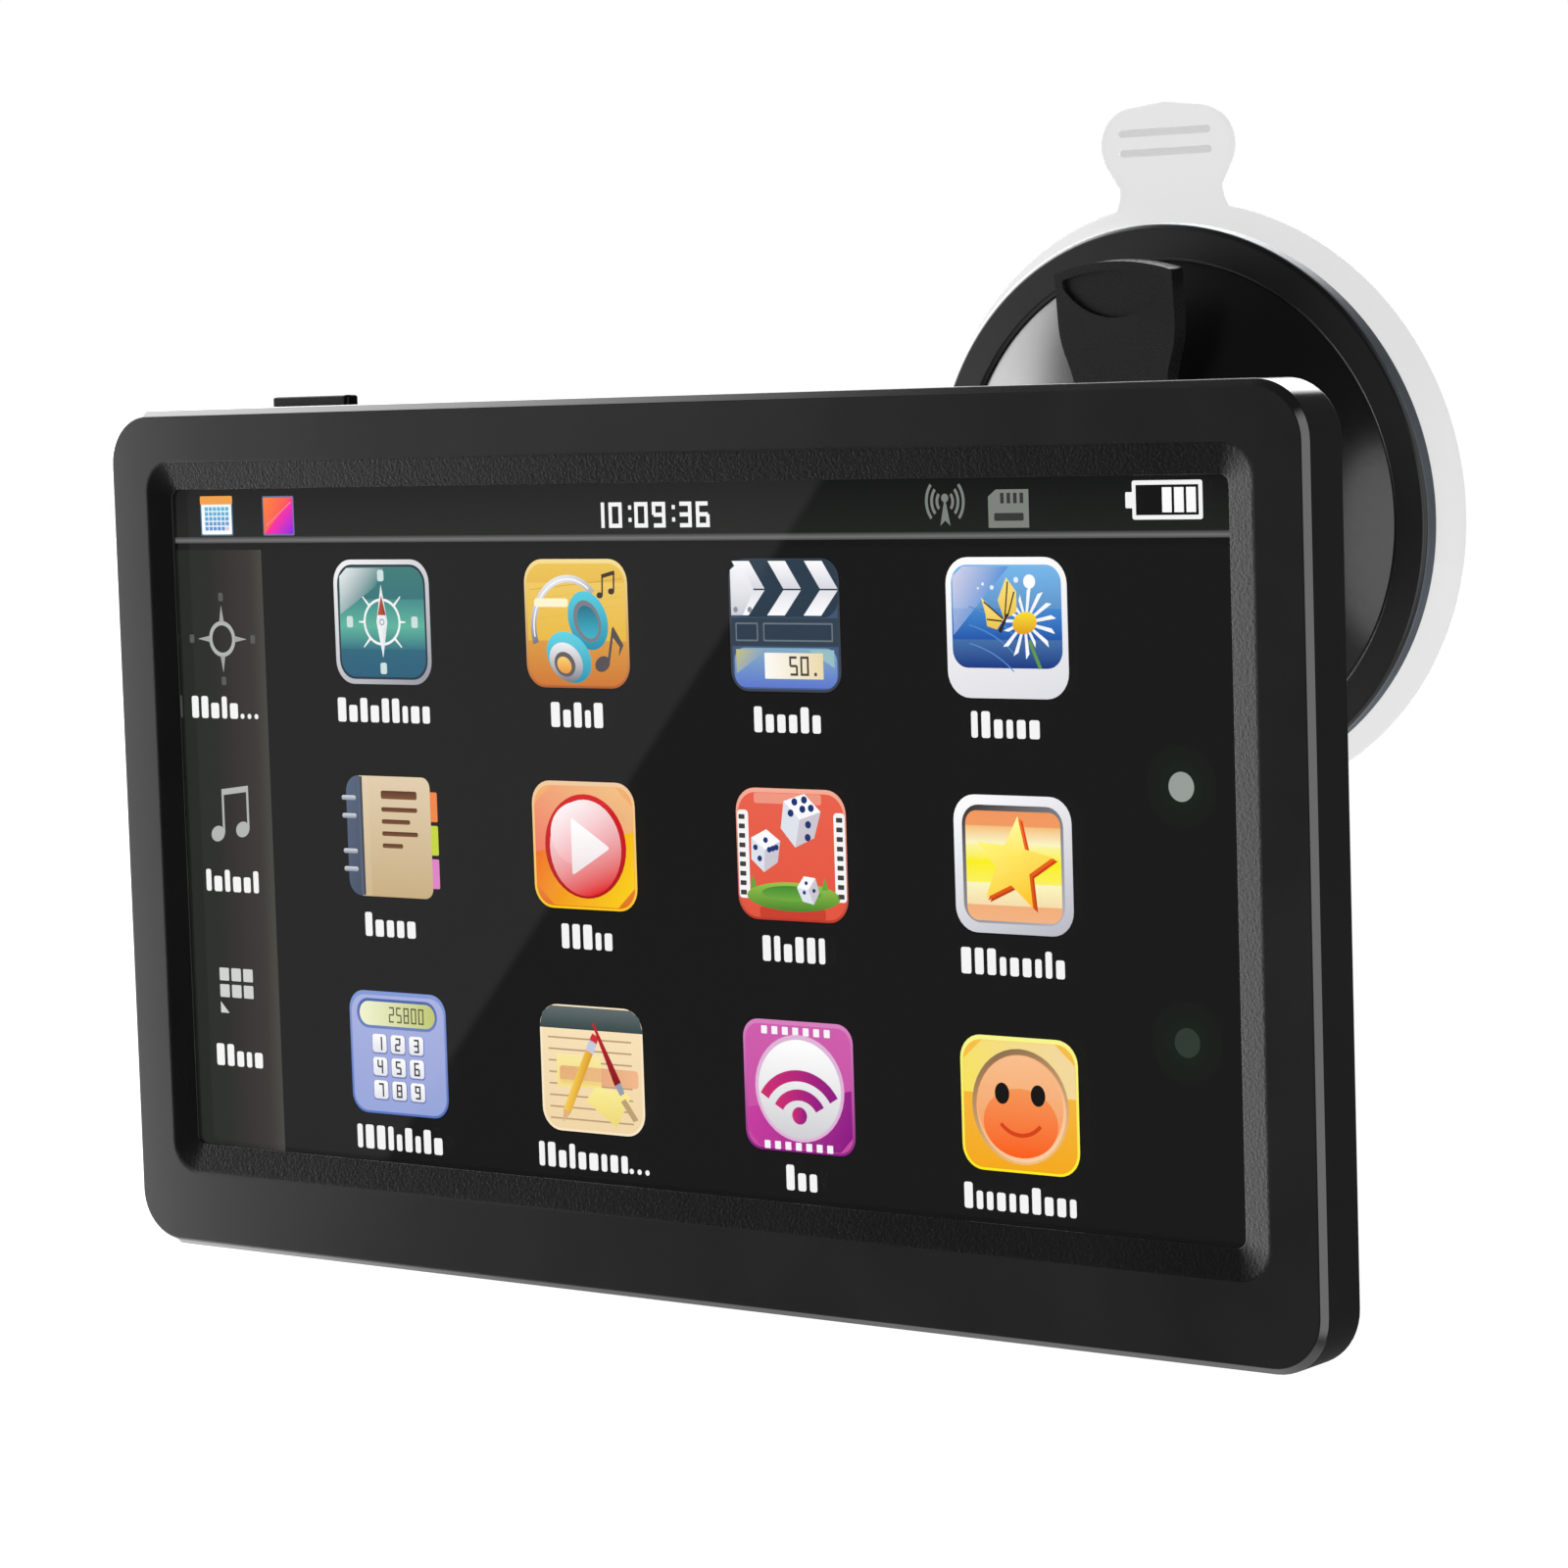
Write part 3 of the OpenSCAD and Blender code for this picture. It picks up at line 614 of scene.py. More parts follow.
def speaker_slit(k, depth):
    """One of the sound slits, k places above the middle one."""
    z = SPEAKER_Z + 2 * k
    outline = circle(SPEAKER_X + SLIT_HALF - SLIT_R, z, SLIT_R, 12, -90, 90)
    outline += circle(SPEAKER_X - SLIT_HALF + SLIT_R, z, SLIT_R, 12, 90, 270)
    return prism("slit", outline, depth, CASE_D + 1, CASE)


def make_back():
    """Rear cover with screw posts, pockets for the cradle's hooks, sound slits and side sockets."""
    inner = CASE_D - BACK_WALL
    shell = rect_loft(
        "back_shell",
        [
            ([CASE_W - 20, CASE_H - 20, 4, 0, CASE_D], 0),
            ([CASE_W - 14, CASE_H - 14, 4.5, 0, CASE_D], 1.6),
            (plan(3.4, CASE_D - 2.2, 4.5), 1.6),
            (plan(0.2, BEZEL_D), 0.15),
            (plan(BACK_WALL + 0.2, BEZEL_D), 0.1),
            (plan(BACK_WALL + 3.4, inner - 2.2, 4.2), 0),
            ([CASE_W - 17.2, CASE_H - 17.2, 4, 0, inner], 0),
        ],
        False,
        CASE,
    )
    posts = [rod_y("post", x, z, 2.8, 10, inner + 0.2, CASE) for x, z in SCREWS]
    posts += [
        box_mesh("pocket", (x - 6, x + 6), (9.6, inner + 0.2), (z - LIFT - 4, z + 4), CASE)
        for x, z in HOOKS
    ]
    combine(shell, [joined("posts", posts)], "UNION")
    rooms = [rod_y("bore", x, z, 1.1, 9, CASE_D + 1, CASE) for x, z in SCREWS]
    stems = [rod_y("seat", x, z, 2.1, CASE_D - 1.3, CASE_D + 1, CASE) for x, z in SCREWS]
    heads = []
    for x, z in HOOKS:
        rooms.append(box_mesh("room", (x - 5, x + 5), (10.4, inner), (z - LIFT - 3.2, z + 3.2), CASE))
        deep, low = (inner - 0.5, CASE_D + 1), z - LIFT
        stems.append(box_mesh("stem", (x - 2.4, x + 2.4), deep, (low - 1, z + 3), CASE))
        deep = (inner - 0.6, CASE_D + 1.1)
        heads.append(box_mesh("head", (x - 4.4, x + 4.4), deep, (low - 3, low + 3), CASE))
    rooms += [speaker_slit(k, inner - 1) for k in SPEAKER_SLITS]
    rooms.append(box_mesh("usb", SIDE_CUT, (7.7, 11.9), (-30.15, -21.85), CASE))
    rooms.append(box_mesh("card", SIDE_CUT, (8.0, 9.7), (-16.9, -5.1), CASE))
    rooms.append(rod_x("jack", 9.3, -35.5, 2.5, *SIDE_CUT, CASE))
    for group in (rooms, stems, heads):
        combine(shell, [joined("cuts", group)], "DIFFERENCE")
    bevelled(shell, 0.18, 2, 50)
    finished(shell, "back", "navigator", ["rear_cover"])


# ---- suction cup --------------------------------------------------------------------------

DISC_R, RIM_R, DOME_R, DOME_TOP = 43.1, 40.3, 35.1, 14.2
RING_IN, RIM_LOW, RING_TOP = 6.5, 4.0, 6.9
DOME_BALL = (DOME_R**2 + (DOME_TOP - RING_IN) ** 2) / (2 * (DOME_TOP - RING_IN))
WELL_HALF, CHEEK_T, WELL_FLOOR = 7.8, 3.5, 10.5
PIN_H, KNUCKLE_Z, KNUCKLE_H, BOLT_R = 16.5, -10.0, 31.0, 3.0
STEM_R = 3.5


def dome_height(radius):
    """Height of the dome's skin above the suction face."""
    return DOME_TOP - DOME_BALL + math.sqrt(DOME_BALL**2 - radius**2)


def hull_outline(points):
    """Convex outline of flat points."""
    points = sorted(set((round(x, 5), round(z, 5)) for x, z in points))

    def half(run):
        out = []
        for p in run:
            while len(out) > 1 and (out[-1][0] - out[-2][0]) * (p[1] - out[-2][1]) <= (
                out[-1][1] - out[-2][1]
            ) * (p[0] - out[-2][0]):
                out.pop()
            out.append(p)
        return out[:-1]

    return half(points) + half(points[::-1])


def side_prism(name, outline, x0, x1):
    """A side view of (z, height) points in the cup frame, from x0 to x1."""
    rings = [[(x, -h, z) for z, h in outline] for x in (x0, x1)]
    return mesh_object(name, *loft(rings, False), CUP)


EDGE_STRIP = 0.08


def make_dome():
    """Dome, flat ring and knuckle cheeks in one shell, with the well that the lever and the arm use."""
    steps = 24
    inner = [((DOME_R - 1) * i / 8, dome_height((DOME_R - 1) * i / 8) - 2.2) for i in range(9)]
    radii = [DOME_R, DOME_R - EDGE_STRIP] + [DOME_R * i / steps for i in range(steps - 1, -1, -1)]
    outer = [(r, dome_height(r)) for r in radii]
    stations = [((r, h, 0)) for r, h in inner]
    stations += [
        (RIM_R - 2.6, RIM_LOW, 0),
        (RIM_R, RIM_LOW, 0.25),
        (RIM_R, RING_TOP - 0.5, 0.25),
        (RIM_R - 0.5, RING_TOP, 0.25),
        (DOME_R + 0.5, RING_TOP + 0.12, 0.2),
        (DOME_R, RING_TOP - 0.3, 0.15),
    ]
    stations += [(r, h, 0) for r, h in outer]
    shell = turned("dome_shell", stations, CUP, closed=False)
    cheek = hull_outline(
        [(-17, 9), (8, 9), (8, 12), (-17, 12)] + circle(KNUCKLE_Z, KNUCKLE_H, 7.5, 64)
    )
    add = [
        bevelled(side_prism("cheek", cheek, side * WELL_HALF, side * (WELL_HALF + CHEEK_T)), 0.6, 4)
        for side in (-1, 1)
    ]
    combine(shell, [joined("cheeks", add)], "UNION")
    inside = [
        rod_y("block", 0, 0, 13.5, -dome_height(13.5), -7.5, CUP, 96),
        rod_y("boss", 0, 0, 8, -9.0, -5.4, CUP, 96),
    ]
    for o in inside:
        combine(shell, [o], "UNION")
    combine(
        shell,
        [
            box_mesh("well", (-WELL_HALF, WELL_HALF), (-60, -WELL_FLOOR), (-8.5, 9), CUP),
            box_mesh("gap", (-WELL_HALF, WELL_HALF), (-60, -PIN_H), (-30, 30), CUP),
            rod_y("stem_hole", 0, 0, STEM_R + 0.05, -11.5, 0, CUP, 64),
            rod_y("counterbore", 0, 0, STEM_R + 1, -11.5, -9.6, CUP, 64),
            rod_x("bolt_hole", -KNUCKLE_H, KNUCKLE_Z, BOLT_R + 0.05, -20, 20, CUP),
        ],
        "DIFFERENCE",
    )
    finished(shell, ["dome", "ring", "mount", "rim"], "cup_base", ["dome_housing"], 40)
    for face in shell.data.polygons:
        c = face.center / MM
        r = math.hypot(c.x, c.z)
        # Faces on the rim's side take the lighter material, which paints a reflection band.
        if r > RIM_R - 0.08:
            face.material_index = 3
        elif r > DOME_R + 0.05:
            face.material_index = 1
        elif -c.y > DOME_TOP + 0.2 or (-c.y > dome_height(min(r, DOME_R)) + 0.3 and r < 30):
            face.material_index = 2


NECK, FLARE, NECK_Z, TAB_MIDDLE, TAB_T = 8.1, 5.6, 45.0, 48.0, 1.5
DISC_HOLE_R, DISC_TOP = 9.3, RIM_LOW - 0.01


def angle_round_tab(point):
    """Grows from the tab's right foot, over its top, to its left foot."""
    x, z = point
    angle = math.atan2(z - TAB_MIDDLE, x)
    return angle % (2 * math.pi) if z < TAB_MIDDLE and x < 0 else angle


def tab_outline():
    """Plan of the release tab: a broad rounded head on a neck that flares into the disc."""
    head = hull_outline(
        circle(-5.2, 50.9, 5.5, 64)
        + circle(5.2, 50.9, 5.5, 64)
        + circle(0, 50.5, 6.5, 64)
        + [(-NECK, NECK_Z), (NECK, NECK_Z)]
    )
    upper = sorted((p for p in head if p[1] > NECK_Z), key=angle_round_tab)
    right = circle(NECK + FLARE, NECK_Z, FLARE, 20, 180, 270)
    left = [(-x, z) for x, z in right]
    foot = 38.2
    return [(NECK + FLARE, foot)] + right[::-1] + upper + left + [(-NECK - FLARE, foot)]


def make_disc():
    """Clear suction disc and its release tab, with two grip ridges as a piece of their own."""
    shell = turned(
        "cup_disc",
        [
            (DISC_HOLE_R, 2.0, 0.1),
            (30, 1.4, 1),
            (36, 0, 1),
            (DISC_R - 0.3, 0, 0.2),
            (DISC_R, 0.75, 0.5),
            (DISC_R - 0.3, 1.5, 0.3),
            (40.9, 2.4, 0.6),
            (39.6, DISC_TOP, 0.1),
            (DISC_HOLE_R, DISC_TOP, 0.1),
        ],
        CUP,
    )
    tab = bevelled(prism("tab", tab_outline(), -TAB_T, 0, CUP), 0.35, 3, 50)
    combine(shell, [tab], "UNION")
    ridges = joined("tab_ridges", [capsule("ridge", 6.9, 0.55, -TAB_T, z) for z in (50.1, 52.9)])
    finished(ridges, "vinyl", "cup_base", ["suction_disc"], 60)
    along_row(shell)
    finished(shell, "vinyl", "cup_base", ["suction_disc"], 45)


def capsule(name, half, r, y, z):
    """A bar along x with round ends, in the cup frame."""
    rings = []
    for side in (-1, 1):
        for k in range(7):
            a = math.radians(90 * (6 - k if side < 0 else k) / 6)
            x, thick = side * (half + r * math.sin(a)), r * max(math.cos(a), 0.02)
            rings.append([(x, y + thick * c, z + thick * s) for c, s in circle(0, 0, 1, 24)])
    return mesh_object(name, *loft(rings, False), CUP)


def round_path(points, steps=8):
    """A closed outline whose corners (x, z, cut) are eased off over the length cut."""
    out = []
    for i, (x, z, cut) in enumerate(points):
        if not cut:
            out.append((x, z))
            continue
        ends = []
        for ox, oz, _ in (points[i - 1], points[(i + 1) % len(points)]):
            run = math.hypot(ox - x, oz - z)
            share = min(cut / run, 0.5)
            ends.append((x + (ox - x) * share, z + (oz - z) * share))
        for k in range(steps + 1):
            t = k / steps
            out.append(
                tuple(
                    (1 - t) ** 2 * a + 2 * t * (1 - t) * m + t * t * b
                    for a, m, b in zip(ends[0], (x, z), ends[1])
                )
            )
    return out


BLADE_LOW, BLADE_TOP, PADDLE_HALF, PADDLE_Z, PADDLE_TOP = 15.1, 18.2, 9.5, 34.7, 36.2
ARCH_R = (PADDLE_HALF**2 + (PADDLE_TOP - PADDLE_Z) ** 2) / (2 * (PADDLE_TOP - PADDLE_Z))
LEVER_CLOSED_CAM = PIN_H - WELL_FLOOR - 0.05
LEVER_TRAVEL, STEM_PULL, LEVER_HALF = 70, 3.0, 7.4
WAIST = ((LEVER_HALF, 20.0, 2.6), (9.4, 25.3, 2.6))
SCOOP_MARGIN, SCOOP_DEPTH = 1.2, 0.6


def arch(radius, half):
    """Points of the paddle's arched end from right to left."""
    end = math.degrees(math.asin(half / radius))
    return circle(0, PADDLE_TOP - ARCH_R, radius, 24, 90 - end, 90 + end)


def lever_cam():
    """Side view (z, height) of the cam: its rim recedes as the lever opens, which lets the stem sink."""
    fall = STEM_PULL / LEVER_TRAVEL
    lead = math.degrees(fall)
    top, low = BLADE_TOP - PIN_H, BLADE_LOW - PIN_H
    rim = [(0, top), (8, top), (8, low)]
    for a in range(0, LEVER_TRAVEL + 1, 5):
        h, t = LEVER_CLOSED_CAM - fall * a, math.radians(a)
        rim.append((-h * math.sin(t) + lead * math.cos(t), -h * math.cos(t) - lead * math.sin(t)))
    hub = circle(0, 0, LEVER_CLOSED_CAM - STEM_PULL, 48)
    return [(z, h + PIN_H) for z, h in hull_outline(rim + hub)]


def thumb_scoop():
    """Plan of the shallow scoop: the paddle's arch above and a round edge below."""
    reach = PADDLE_HALF - SCOOP_MARGIN
    top = arch(ARCH_R - SCOOP_MARGIN, reach)
    limit = top[0][1] - 0.3
    return top + [(x, z) for x, z in circle(0, 38.4, 10, 72, 180, 360) if abs(x) < reach and z < limit]


def make_lever():
    """Lock lever: a waisted paddle with a thumb scoop, and the cam that draws the stem."""
    ends = arch(ARCH_R, PADDLE_HALF)
    tip = [(x, z, 0.5 if i in (0, len(ends) - 1) else 0) for i, (x, z) in enumerate(ends)]
    sides = [(-x, z, cut) for x, z, cut in reversed(WAIST)]
    outline = round_path([(-LEVER_HALF, 0, 0), (LEVER_HALF, 0, 0), *WAIST] + tip + sides)
    blade = prism("lever_paddle", outline, -BLADE_TOP, -BLADE_LOW, CUP)
    combine(blade, [side_prism("cam", lever_cam(), -LEVER_HALF, LEVER_HALF)], "UNION")
    cuts = [
        prism("scoop", thumb_scoop(), -BLADE_TOP - 1, -BLADE_TOP + SCOOP_DEPTH, CUP),
        box_mesh("fork", (-3.5, 3.5), (-PIN_H - 5, -PIN_H + 9), (-9, 4.3), CUP),
        rod_x("pin_hole", -PIN_H, 0, 1.55, -10, 10, CUP),
    ]
    combine(blade, cuts, "DIFFERENCE")
    bevelled(blade, 0.35, 3, 40)
    finished(blade, "lever", "lever", ["lock_lever"], 45)


# ---- arm, knob, cradle and collar ---------------------------------------------------------


def joint_at(name):
    """A joint's point in the row frame, in metres."""
    return Vector(next(j for j in frame["joints"] if j["name"] == name)["pos_m"])


BALL_R, LINER_T, FIT = 10.0, 0.6, 0.05
CAVITY_R = BALL_R + FIT + 2 * (LINER_T + 2 * FIT)


def hull_of(name, pieces):
    """The convex hull of several solids, as one solid."""
    shape = bmesh.new()
    for o in pieces:
        for v in o.data.vertices:
            shape.verts.new(o.matrix_world @ v.co)
        bpy.data.objects.remove(o)
    found = bmesh.ops.convex_hull(shape, input=shape.verts)
    left_over = found["geom_interior"] + found["geom_unused"]
    spare = {v for v in left_over if isinstance(v, bmesh.types.BMVert)}
    bmesh.ops.delete(shape, geom=list(spare), context="VERTS")
    data = bpy.data.meshes.new(name)
    shape.to_mesh(data)
    shape.free()
    made = bpy.data.objects.new(name, data)
    bpy.context.scene.collection.objects.link(made)
    return made


def make_arm():
    """Moulded arm: its parts are fused, then their corners are melted together."""
    ball = (CUP.inverted() @ joint_at("ball_roll")) / MM

    def eye(r, half, h, z, steps=64):
        return rod_x("eye", -h, z, r, -half, half, CUP, steps)

    def boss():
        return rod_y("boss", ball.x, ball.z, 6.3, ball.y + 15.2, ball.y + 17.2, CUP, 64)

    def bend():
        return eye(5.3, 6.9, 40, -11.5)

    body = hull_of("arm_shell", [bend(), boss()])
    link = hull_of("link", [bend(), eye(5.3, 6.9, KNUCKLE_H, KNUCKLE_Z)])
    combine(body, [link], "UNION")
    combine(body, [eye(7.35, 7.45, KNUCKLE_H, KNUCKLE_Z)], "UNION")
    melt = body.modifiers.new("remesh", "REMESH")
    melt.mode = "VOXEL"
    melt.voxel_size = 0.45 * MM
    ease = body.modifiers.new("ease", "SMOOTH")
    ease.factor, ease.iterations = 0.5, 8
    applied(body)
    cuts = [
        rod_x("bolt_hole", -KNUCKLE_H, KNUCKLE_Z, BOLT_R + 0.05, -20, 20, CUP),
        rod_y("stud_hole", ball.x, ball.z, 3.05, ball.y + 14, ball.y + 21.1, CUP),
    ]
    combine(body, cuts, "DIFFERENCE")
    finished(body, "mount", "arm", ["swing_arm"], 60)


def lobed(angle, core, lobes, lobe_at, lobe_r):
    """Radius of a thumb knob's outline in one direction."""
    best = core
    for k in range(lobes):
        off = (angle - 2 * math.pi * k / lobes + math.pi) % (2 * math.pi) - math.pi
        across = lobe_at * math.sin(off)
        if abs(across) < lobe_r and math.cos(off) > 0:
            best = max(best, lobe_at * math.cos(off) + math.sqrt(lobe_r**2 - across**2))
    return best


KNOB_STEPS, KNOB_CORE, KNOB_LENGTH, KNOB_EDGE = 210, 7, 11, 0.9
KNOB_START = WELL_HALF + CHEEK_T + 0.2


def knob_ring(x, radius_at):
    """A ring of the knob, x from its inner end; radius_at gives the radius in each direction."""
    ring = []
    for i in range(KNOB_STEPS):
        a = 2 * math.pi * i / KNOB_STEPS
        r = radius_at(a)
        ring.append((KNOB_START + x, -KNUCKLE_H + r * math.sin(a), KNUCKLE_Z + r * math.cos(a)))
    return ring


def make_knob():
    """Seven-lobed knob on the bolt's end, with a dished face."""

    def plain(x, r):
        return knob_ring(x, lambda a: r)

    def petals(x, share, inset):
        return knob_ring(
            x, lambda a: KNOB_CORE + (lobed(a, KNOB_CORE, 7, 6.5, 2.8) - KNOB_CORE) * share - inset
        )

    rings = [plain(8, 3.05), plain(0, 3.05), plain(0, 6.7), plain(0.3, 7), plain(1.8, 7)]
    rings += [petals(2.0 + 0.8 * t / 4, math.sin(math.radians(90 * t / 4)), 0) for t in range(5)]
    for k in range(7):
        a = math.radians(90 * k / 6)
        x = KNOB_LENGTH - KNOB_EDGE + KNOB_EDGE * math.sin(a)
        rings.append(petals(x, 1, KNOB_EDGE * (1 - math.cos(a))))
    rings.append(petals(KNOB_LENGTH, 0.55, 1.2))
    rings += [plain(KNOB_LENGTH - sunk, r) for sunk, r in ((0, 4.6), (0.15, 4.2), (0.6, 3.6), (0.7, 0.5))]
    knob = mesh_object("knob_cap", *loft(rings, False), CUP)
    finished(knob, "mount", "knob", ["arm_knob"], 50)


COLLAR_STEPS, FLUTES, FLUTE_AT, FLUTE_R, COLLAR_BORE = 288, 12, 19, 2, 9.3
SEAT_FROM, SEAT_TO = 5.01, 35.68


def fluted(angle, r):
    """The collar's outer radius in one direction, cut in by the nearest grip flute."""
    off = (angle * FLUTES / (2 * math.pi) + 0.5) % 1 - 0.5
    turn = off * 2 * math.pi / FLUTES
    dip = math.sqrt(max(FLUTE_R**2 - (FLUTE_AT * math.sin(turn)) ** 2, 0))
    return min(r, max(FLUTE_AT * math.cos(turn) - dip, 15.3)) if dip > 0 else r


def make_collar():
    """Threaded collar: twelve grip flutes outside, the ball's seat inside."""
    place = Matrix.Translation(joint_at("ball_roll"))
    angles = [math.radians(SEAT_FROM + (SEAT_TO - SEAT_FROM) * i / 8) for i in range(8, -1, -1)]
    seat = [(CAVITY_R * math.cos(a), CAVITY_R * math.sin(a)) for a in angles]
    stations = [
        (18, -7, 0.5),
        (18, 7.0, 1.0),
        (15.5, 8.2, 0.8),
        (COLLAR_BORE, 8.2, 0.4),
        (COLLAR_BORE, seat[0][1], 0),
    ]
    stations += [(r, y, 0) for r, y in seat[1:]] + [(15.05, seat[-1][1], 0), (15.05, -7, 0.2)]
    rings = []
    for double_r, _, y in soften([([2 * r, 0.0, y], b) for r, y, b in stations], True):
        ring = []
        for i in range(COLLAR_STEPS):
            a = 2 * math.pi * i / COLLAR_STEPS
            r = double_r / 2
            if r > 15.2:
                r = fluted(a, r)
            ring.append((r * math.cos(a), y, r * math.sin(a)))
        rings.append(ring)
    collar = mesh_object("collar_ring", *loft(rings, True), place)
    finished(collar, "mount", "collar", ["collar_nut"], 40)


CRADLE_Z, CRADLE_Y, CRADLE_T, BALL_Y = 10.0, 13.9, 3.0, 29.0


def make_cradle():
    """Plate with four hooks, and the socket that holds the ball and its liners."""
    back = CRADLE_Y + CRADLE_T
    plate = rect_loft(
        "cradle_plate",
        [
            ([70, 40, 5, CRADLE_Z, CRADLE_Y], 0),
            ([80, 50, 7, CRADLE_Z, CRADLE_Y], 0.4),
            ([80, 50, 7, CRADLE_Z, back], 1.1),
            ([70, 40, 5, CRADLE_Z, back], 0),
        ],
        False,
        CASE,
    )
    angles = [math.radians(95 * i / 16) for i in range(17)]
    seat = [(CAVITY_R * math.sin(a), CAVITY_R * math.cos(a) - BALL_Y, 0) for a in angles]
    mouth = seat[-1][0]
    wall = [
        (mouth, -BALL_Y - 1, 0),
        (15, -BALL_Y - 1, 0.3),
        (15, -back - 2.4, 2.3),
        (17.6, -back, 0),
        (17.6, -back + 1, 0),
        (0, -back + 1, 0),
    ]
    middle = CASE @ Matrix.Translation((0, 0, CRADLE_Z * MM))
    combine(plate, [turned("socket", seat + wall, middle, closed=False)], "UNION")
    mouth_cut = [(mouth, -BALL_Y - 3, 0), (0, -BALL_Y - 3, 0)]
    combine(plate, [turned("cavity", seat + mouth_cut, middle, closed=False)], "DIFFERENCE")
    for x, z in HOOKS:
        stem = box_mesh("stem", (x - 2, x + 2), (10.7, CRADLE_Y + 0.3), (z - 2.5, z + 2.5), CASE)
        head = box_mesh("head", (x - 4, x + 4), (10.7, 11.8), (z - 2.5, z + 2.5), CASE)
        combine(stem, [bevelled(head, 0.25, 2)], "UNION")
        combine(plate, [stem], "UNION")
    finished(plate, "mount", "cradle", ["cradle"], 40)


# ---- display ------------------------------------------------------------------------------

SCREEN_Y = PANEL_Y - 0.002
WAFER = 0.004
# The display lies behind the cover glass, so what lies behind a point of the window is shifted.
SHIFT_X, SHIFT_Z = -0.93, -0.12

WHITE, INK = (244, 244, 244), (60, 50, 48)


class Picture:
    """Part of the lit picture: thin wafers stacked towards the glass, each with its colours.

    Positions are in millimetres from the middle of the window, x to the right and z up. A shade
    is one colour, or two with the direction in which the first turns into the second.
    """

    def __init__(self, name, x=0.0, z=0.0, level=3, scale=1.0):
        self.name, self.x, self.z, self.level, self.scale = name, x, z, level, scale
        self.verts, self.faces, self.paint = [], [], []

    def colours(self, points, shade):
        if isinstance(shade[0], (int, float)):
            return [srgb(shade)] * len(points)
        first, second, along = shade
        where = [x * along[0] + z * along[1] for x, z in points]
        low, span = min(where), max(max(where) - min(where), 1e-6)
        start, end = srgb(first), srgb(second)
        return [
            [a + (b - a) * (w - low) / span for a, b in zip(start, end)] for w in where
        ]

    def wafer(self, points, faces, loops, shade, rise=1):
        base, count = len(self.verts), len(points)
        for y in (SCREEN_Y - self.level * WAFER, SCREEN_Y):
            for x, z in points:
                across = self.x + x * self.scale + SHIFT_X
                self.verts.append((across, y, self.z + z * self.scale + SHIFT_Z + WINDOW_Z))
        self.paint += self.colours(points, shade) * 2
        for face in faces:
            self.faces.append([base + i for i in face])
            self.faces.append([base + count + i for i in reversed(face)])
        for loop in loops:
            for a, b in zip(loop, loop[1:] + loop[:1]):
                self.faces.append([base + a, base + count + a, base + count + b, base + b])
        self.level += rise

    def poly(self, points, shade, rise=1):
        corners = [Vector((x, z, 0)) for x, z in points]
        faces = [list(t) for t in tessellate_polygon([corners])]
        self.wafer(points, faces, [list(range(len(points)))], shade, rise)

    def rect(self, x0, z0, x1, z1, shade, r=0.0, rise=1):
        if r <= 0:
            self.poly([(x0, z0), (x1, z0), (x1, z1), (x0, z1)], shade, rise)
            return
        points = []
        corners = ((x1 - r, z1 - r), (x0 + r, z1 - r), (x0 + r, z0 + r), (x1 - r, z0 + r))
        for k, (cx, cz) in enumerate(corners):
            points += circle(cx, cz, r, 7, 90 * k, 90 * k + 90)
        self.poly(points, shade, rise)

    def oval(self, cx, cz, rx, rz, shade, start=0, end=360, rise=1, tilt=0, steps=40):
        points = [(x * rx, z * rz) for x, z in circle(0, 0, 1, steps, start, end)]
        self.poly([turn_flat(x, z, tilt, cx, cz) for x, z in points], shade, rise)

    def ring(self, cx, cz, rx, rz, width, shade, start=0, end=360, rise=1, tilt=0, steps=40):
        """A band along an ellipse, whole or from one angle to another."""
        whole = end - start >= 360
        unit = circle(0, 0, 1, steps, start, end)
        outer = [(x * rx, z * rz) for x, z in unit]
        inner = [(x * (rx - width), z * (rz - width)) for x, z in unit]
        count = len(outer)
        points = [turn_flat(x, z, tilt, cx, cz) for x, z in outer + inner]
        last = count if whole else count - 1
        faces = [[i, (i + 1) % count, count + (i + 1) % count, count + i] for i in range(last)]
        around = list(range(count))
        within = [count + i for i in range(count)]
        loops = [around, within[::-1]] if whole else [around + within[::-1]]
        self.wafer(points, faces, loops, shade, rise)

    def line(self, x0, z0, x1, z1, width, shade, end_width=None, rise=1):
        run = math.hypot(x1 - x0, z1 - z0)
        nx, nz = -(z1 - z0) / run / 2, (x1 - x0) / run / 2
        w0, w1 = width, width if end_width is None else end_width
        points = [(x0 + nx * w0, z0 + nz * w0), (x0 - nx * w0, z0 - nz * w0)]
        points += [(x1 - nx * w1, z1 - nz * w1), (x1 + nx * w1, z1 + nz * w1)]
        self.poly(points, shade, rise)

    def tile(self, shade, top=None, r=3.0, w=8.5, h=8.2):
        """An app's rounded tile with a soft lit upper edge."""
        self.rect(-w - 0.25, -h - 0.25, w + 0.25, h + 0.25, (9, 9, 9), r + 0.2)
        self.rect(-w, -h, w, h, top or shade, r)
        if top:
            self.rect(-w + 0.35, -h + 0.3, w - 0.35, h - 0.55, shade, r - 0.3)

    def build(self):
        data = bpy.data.meshes.new(self.name)
        data.from_pydata([[c * MM for c in v] for v in self.verts], [], self.faces)
        shape = bmesh.new()
        shape.from_mesh(data)
        bmesh.ops.recalc_face_normals(shape, faces=shape.faces)
        shape.to_mesh(data)
        shape.free()
        paint = data.color_attributes.new("Paint", "FLOAT_COLOR", "POINT")
        paint.data.foreach_set("color", [c for rgb in self.paint for c in (*rgb, 1.0)])
        data.materials.append(MATERIALS["picture"])
        made = bpy.data.objects.new(self.name, data)
        bpy.context.scene.collection.objects.link(made)
        made.matrix_world = CASE
        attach(made, "navigator")


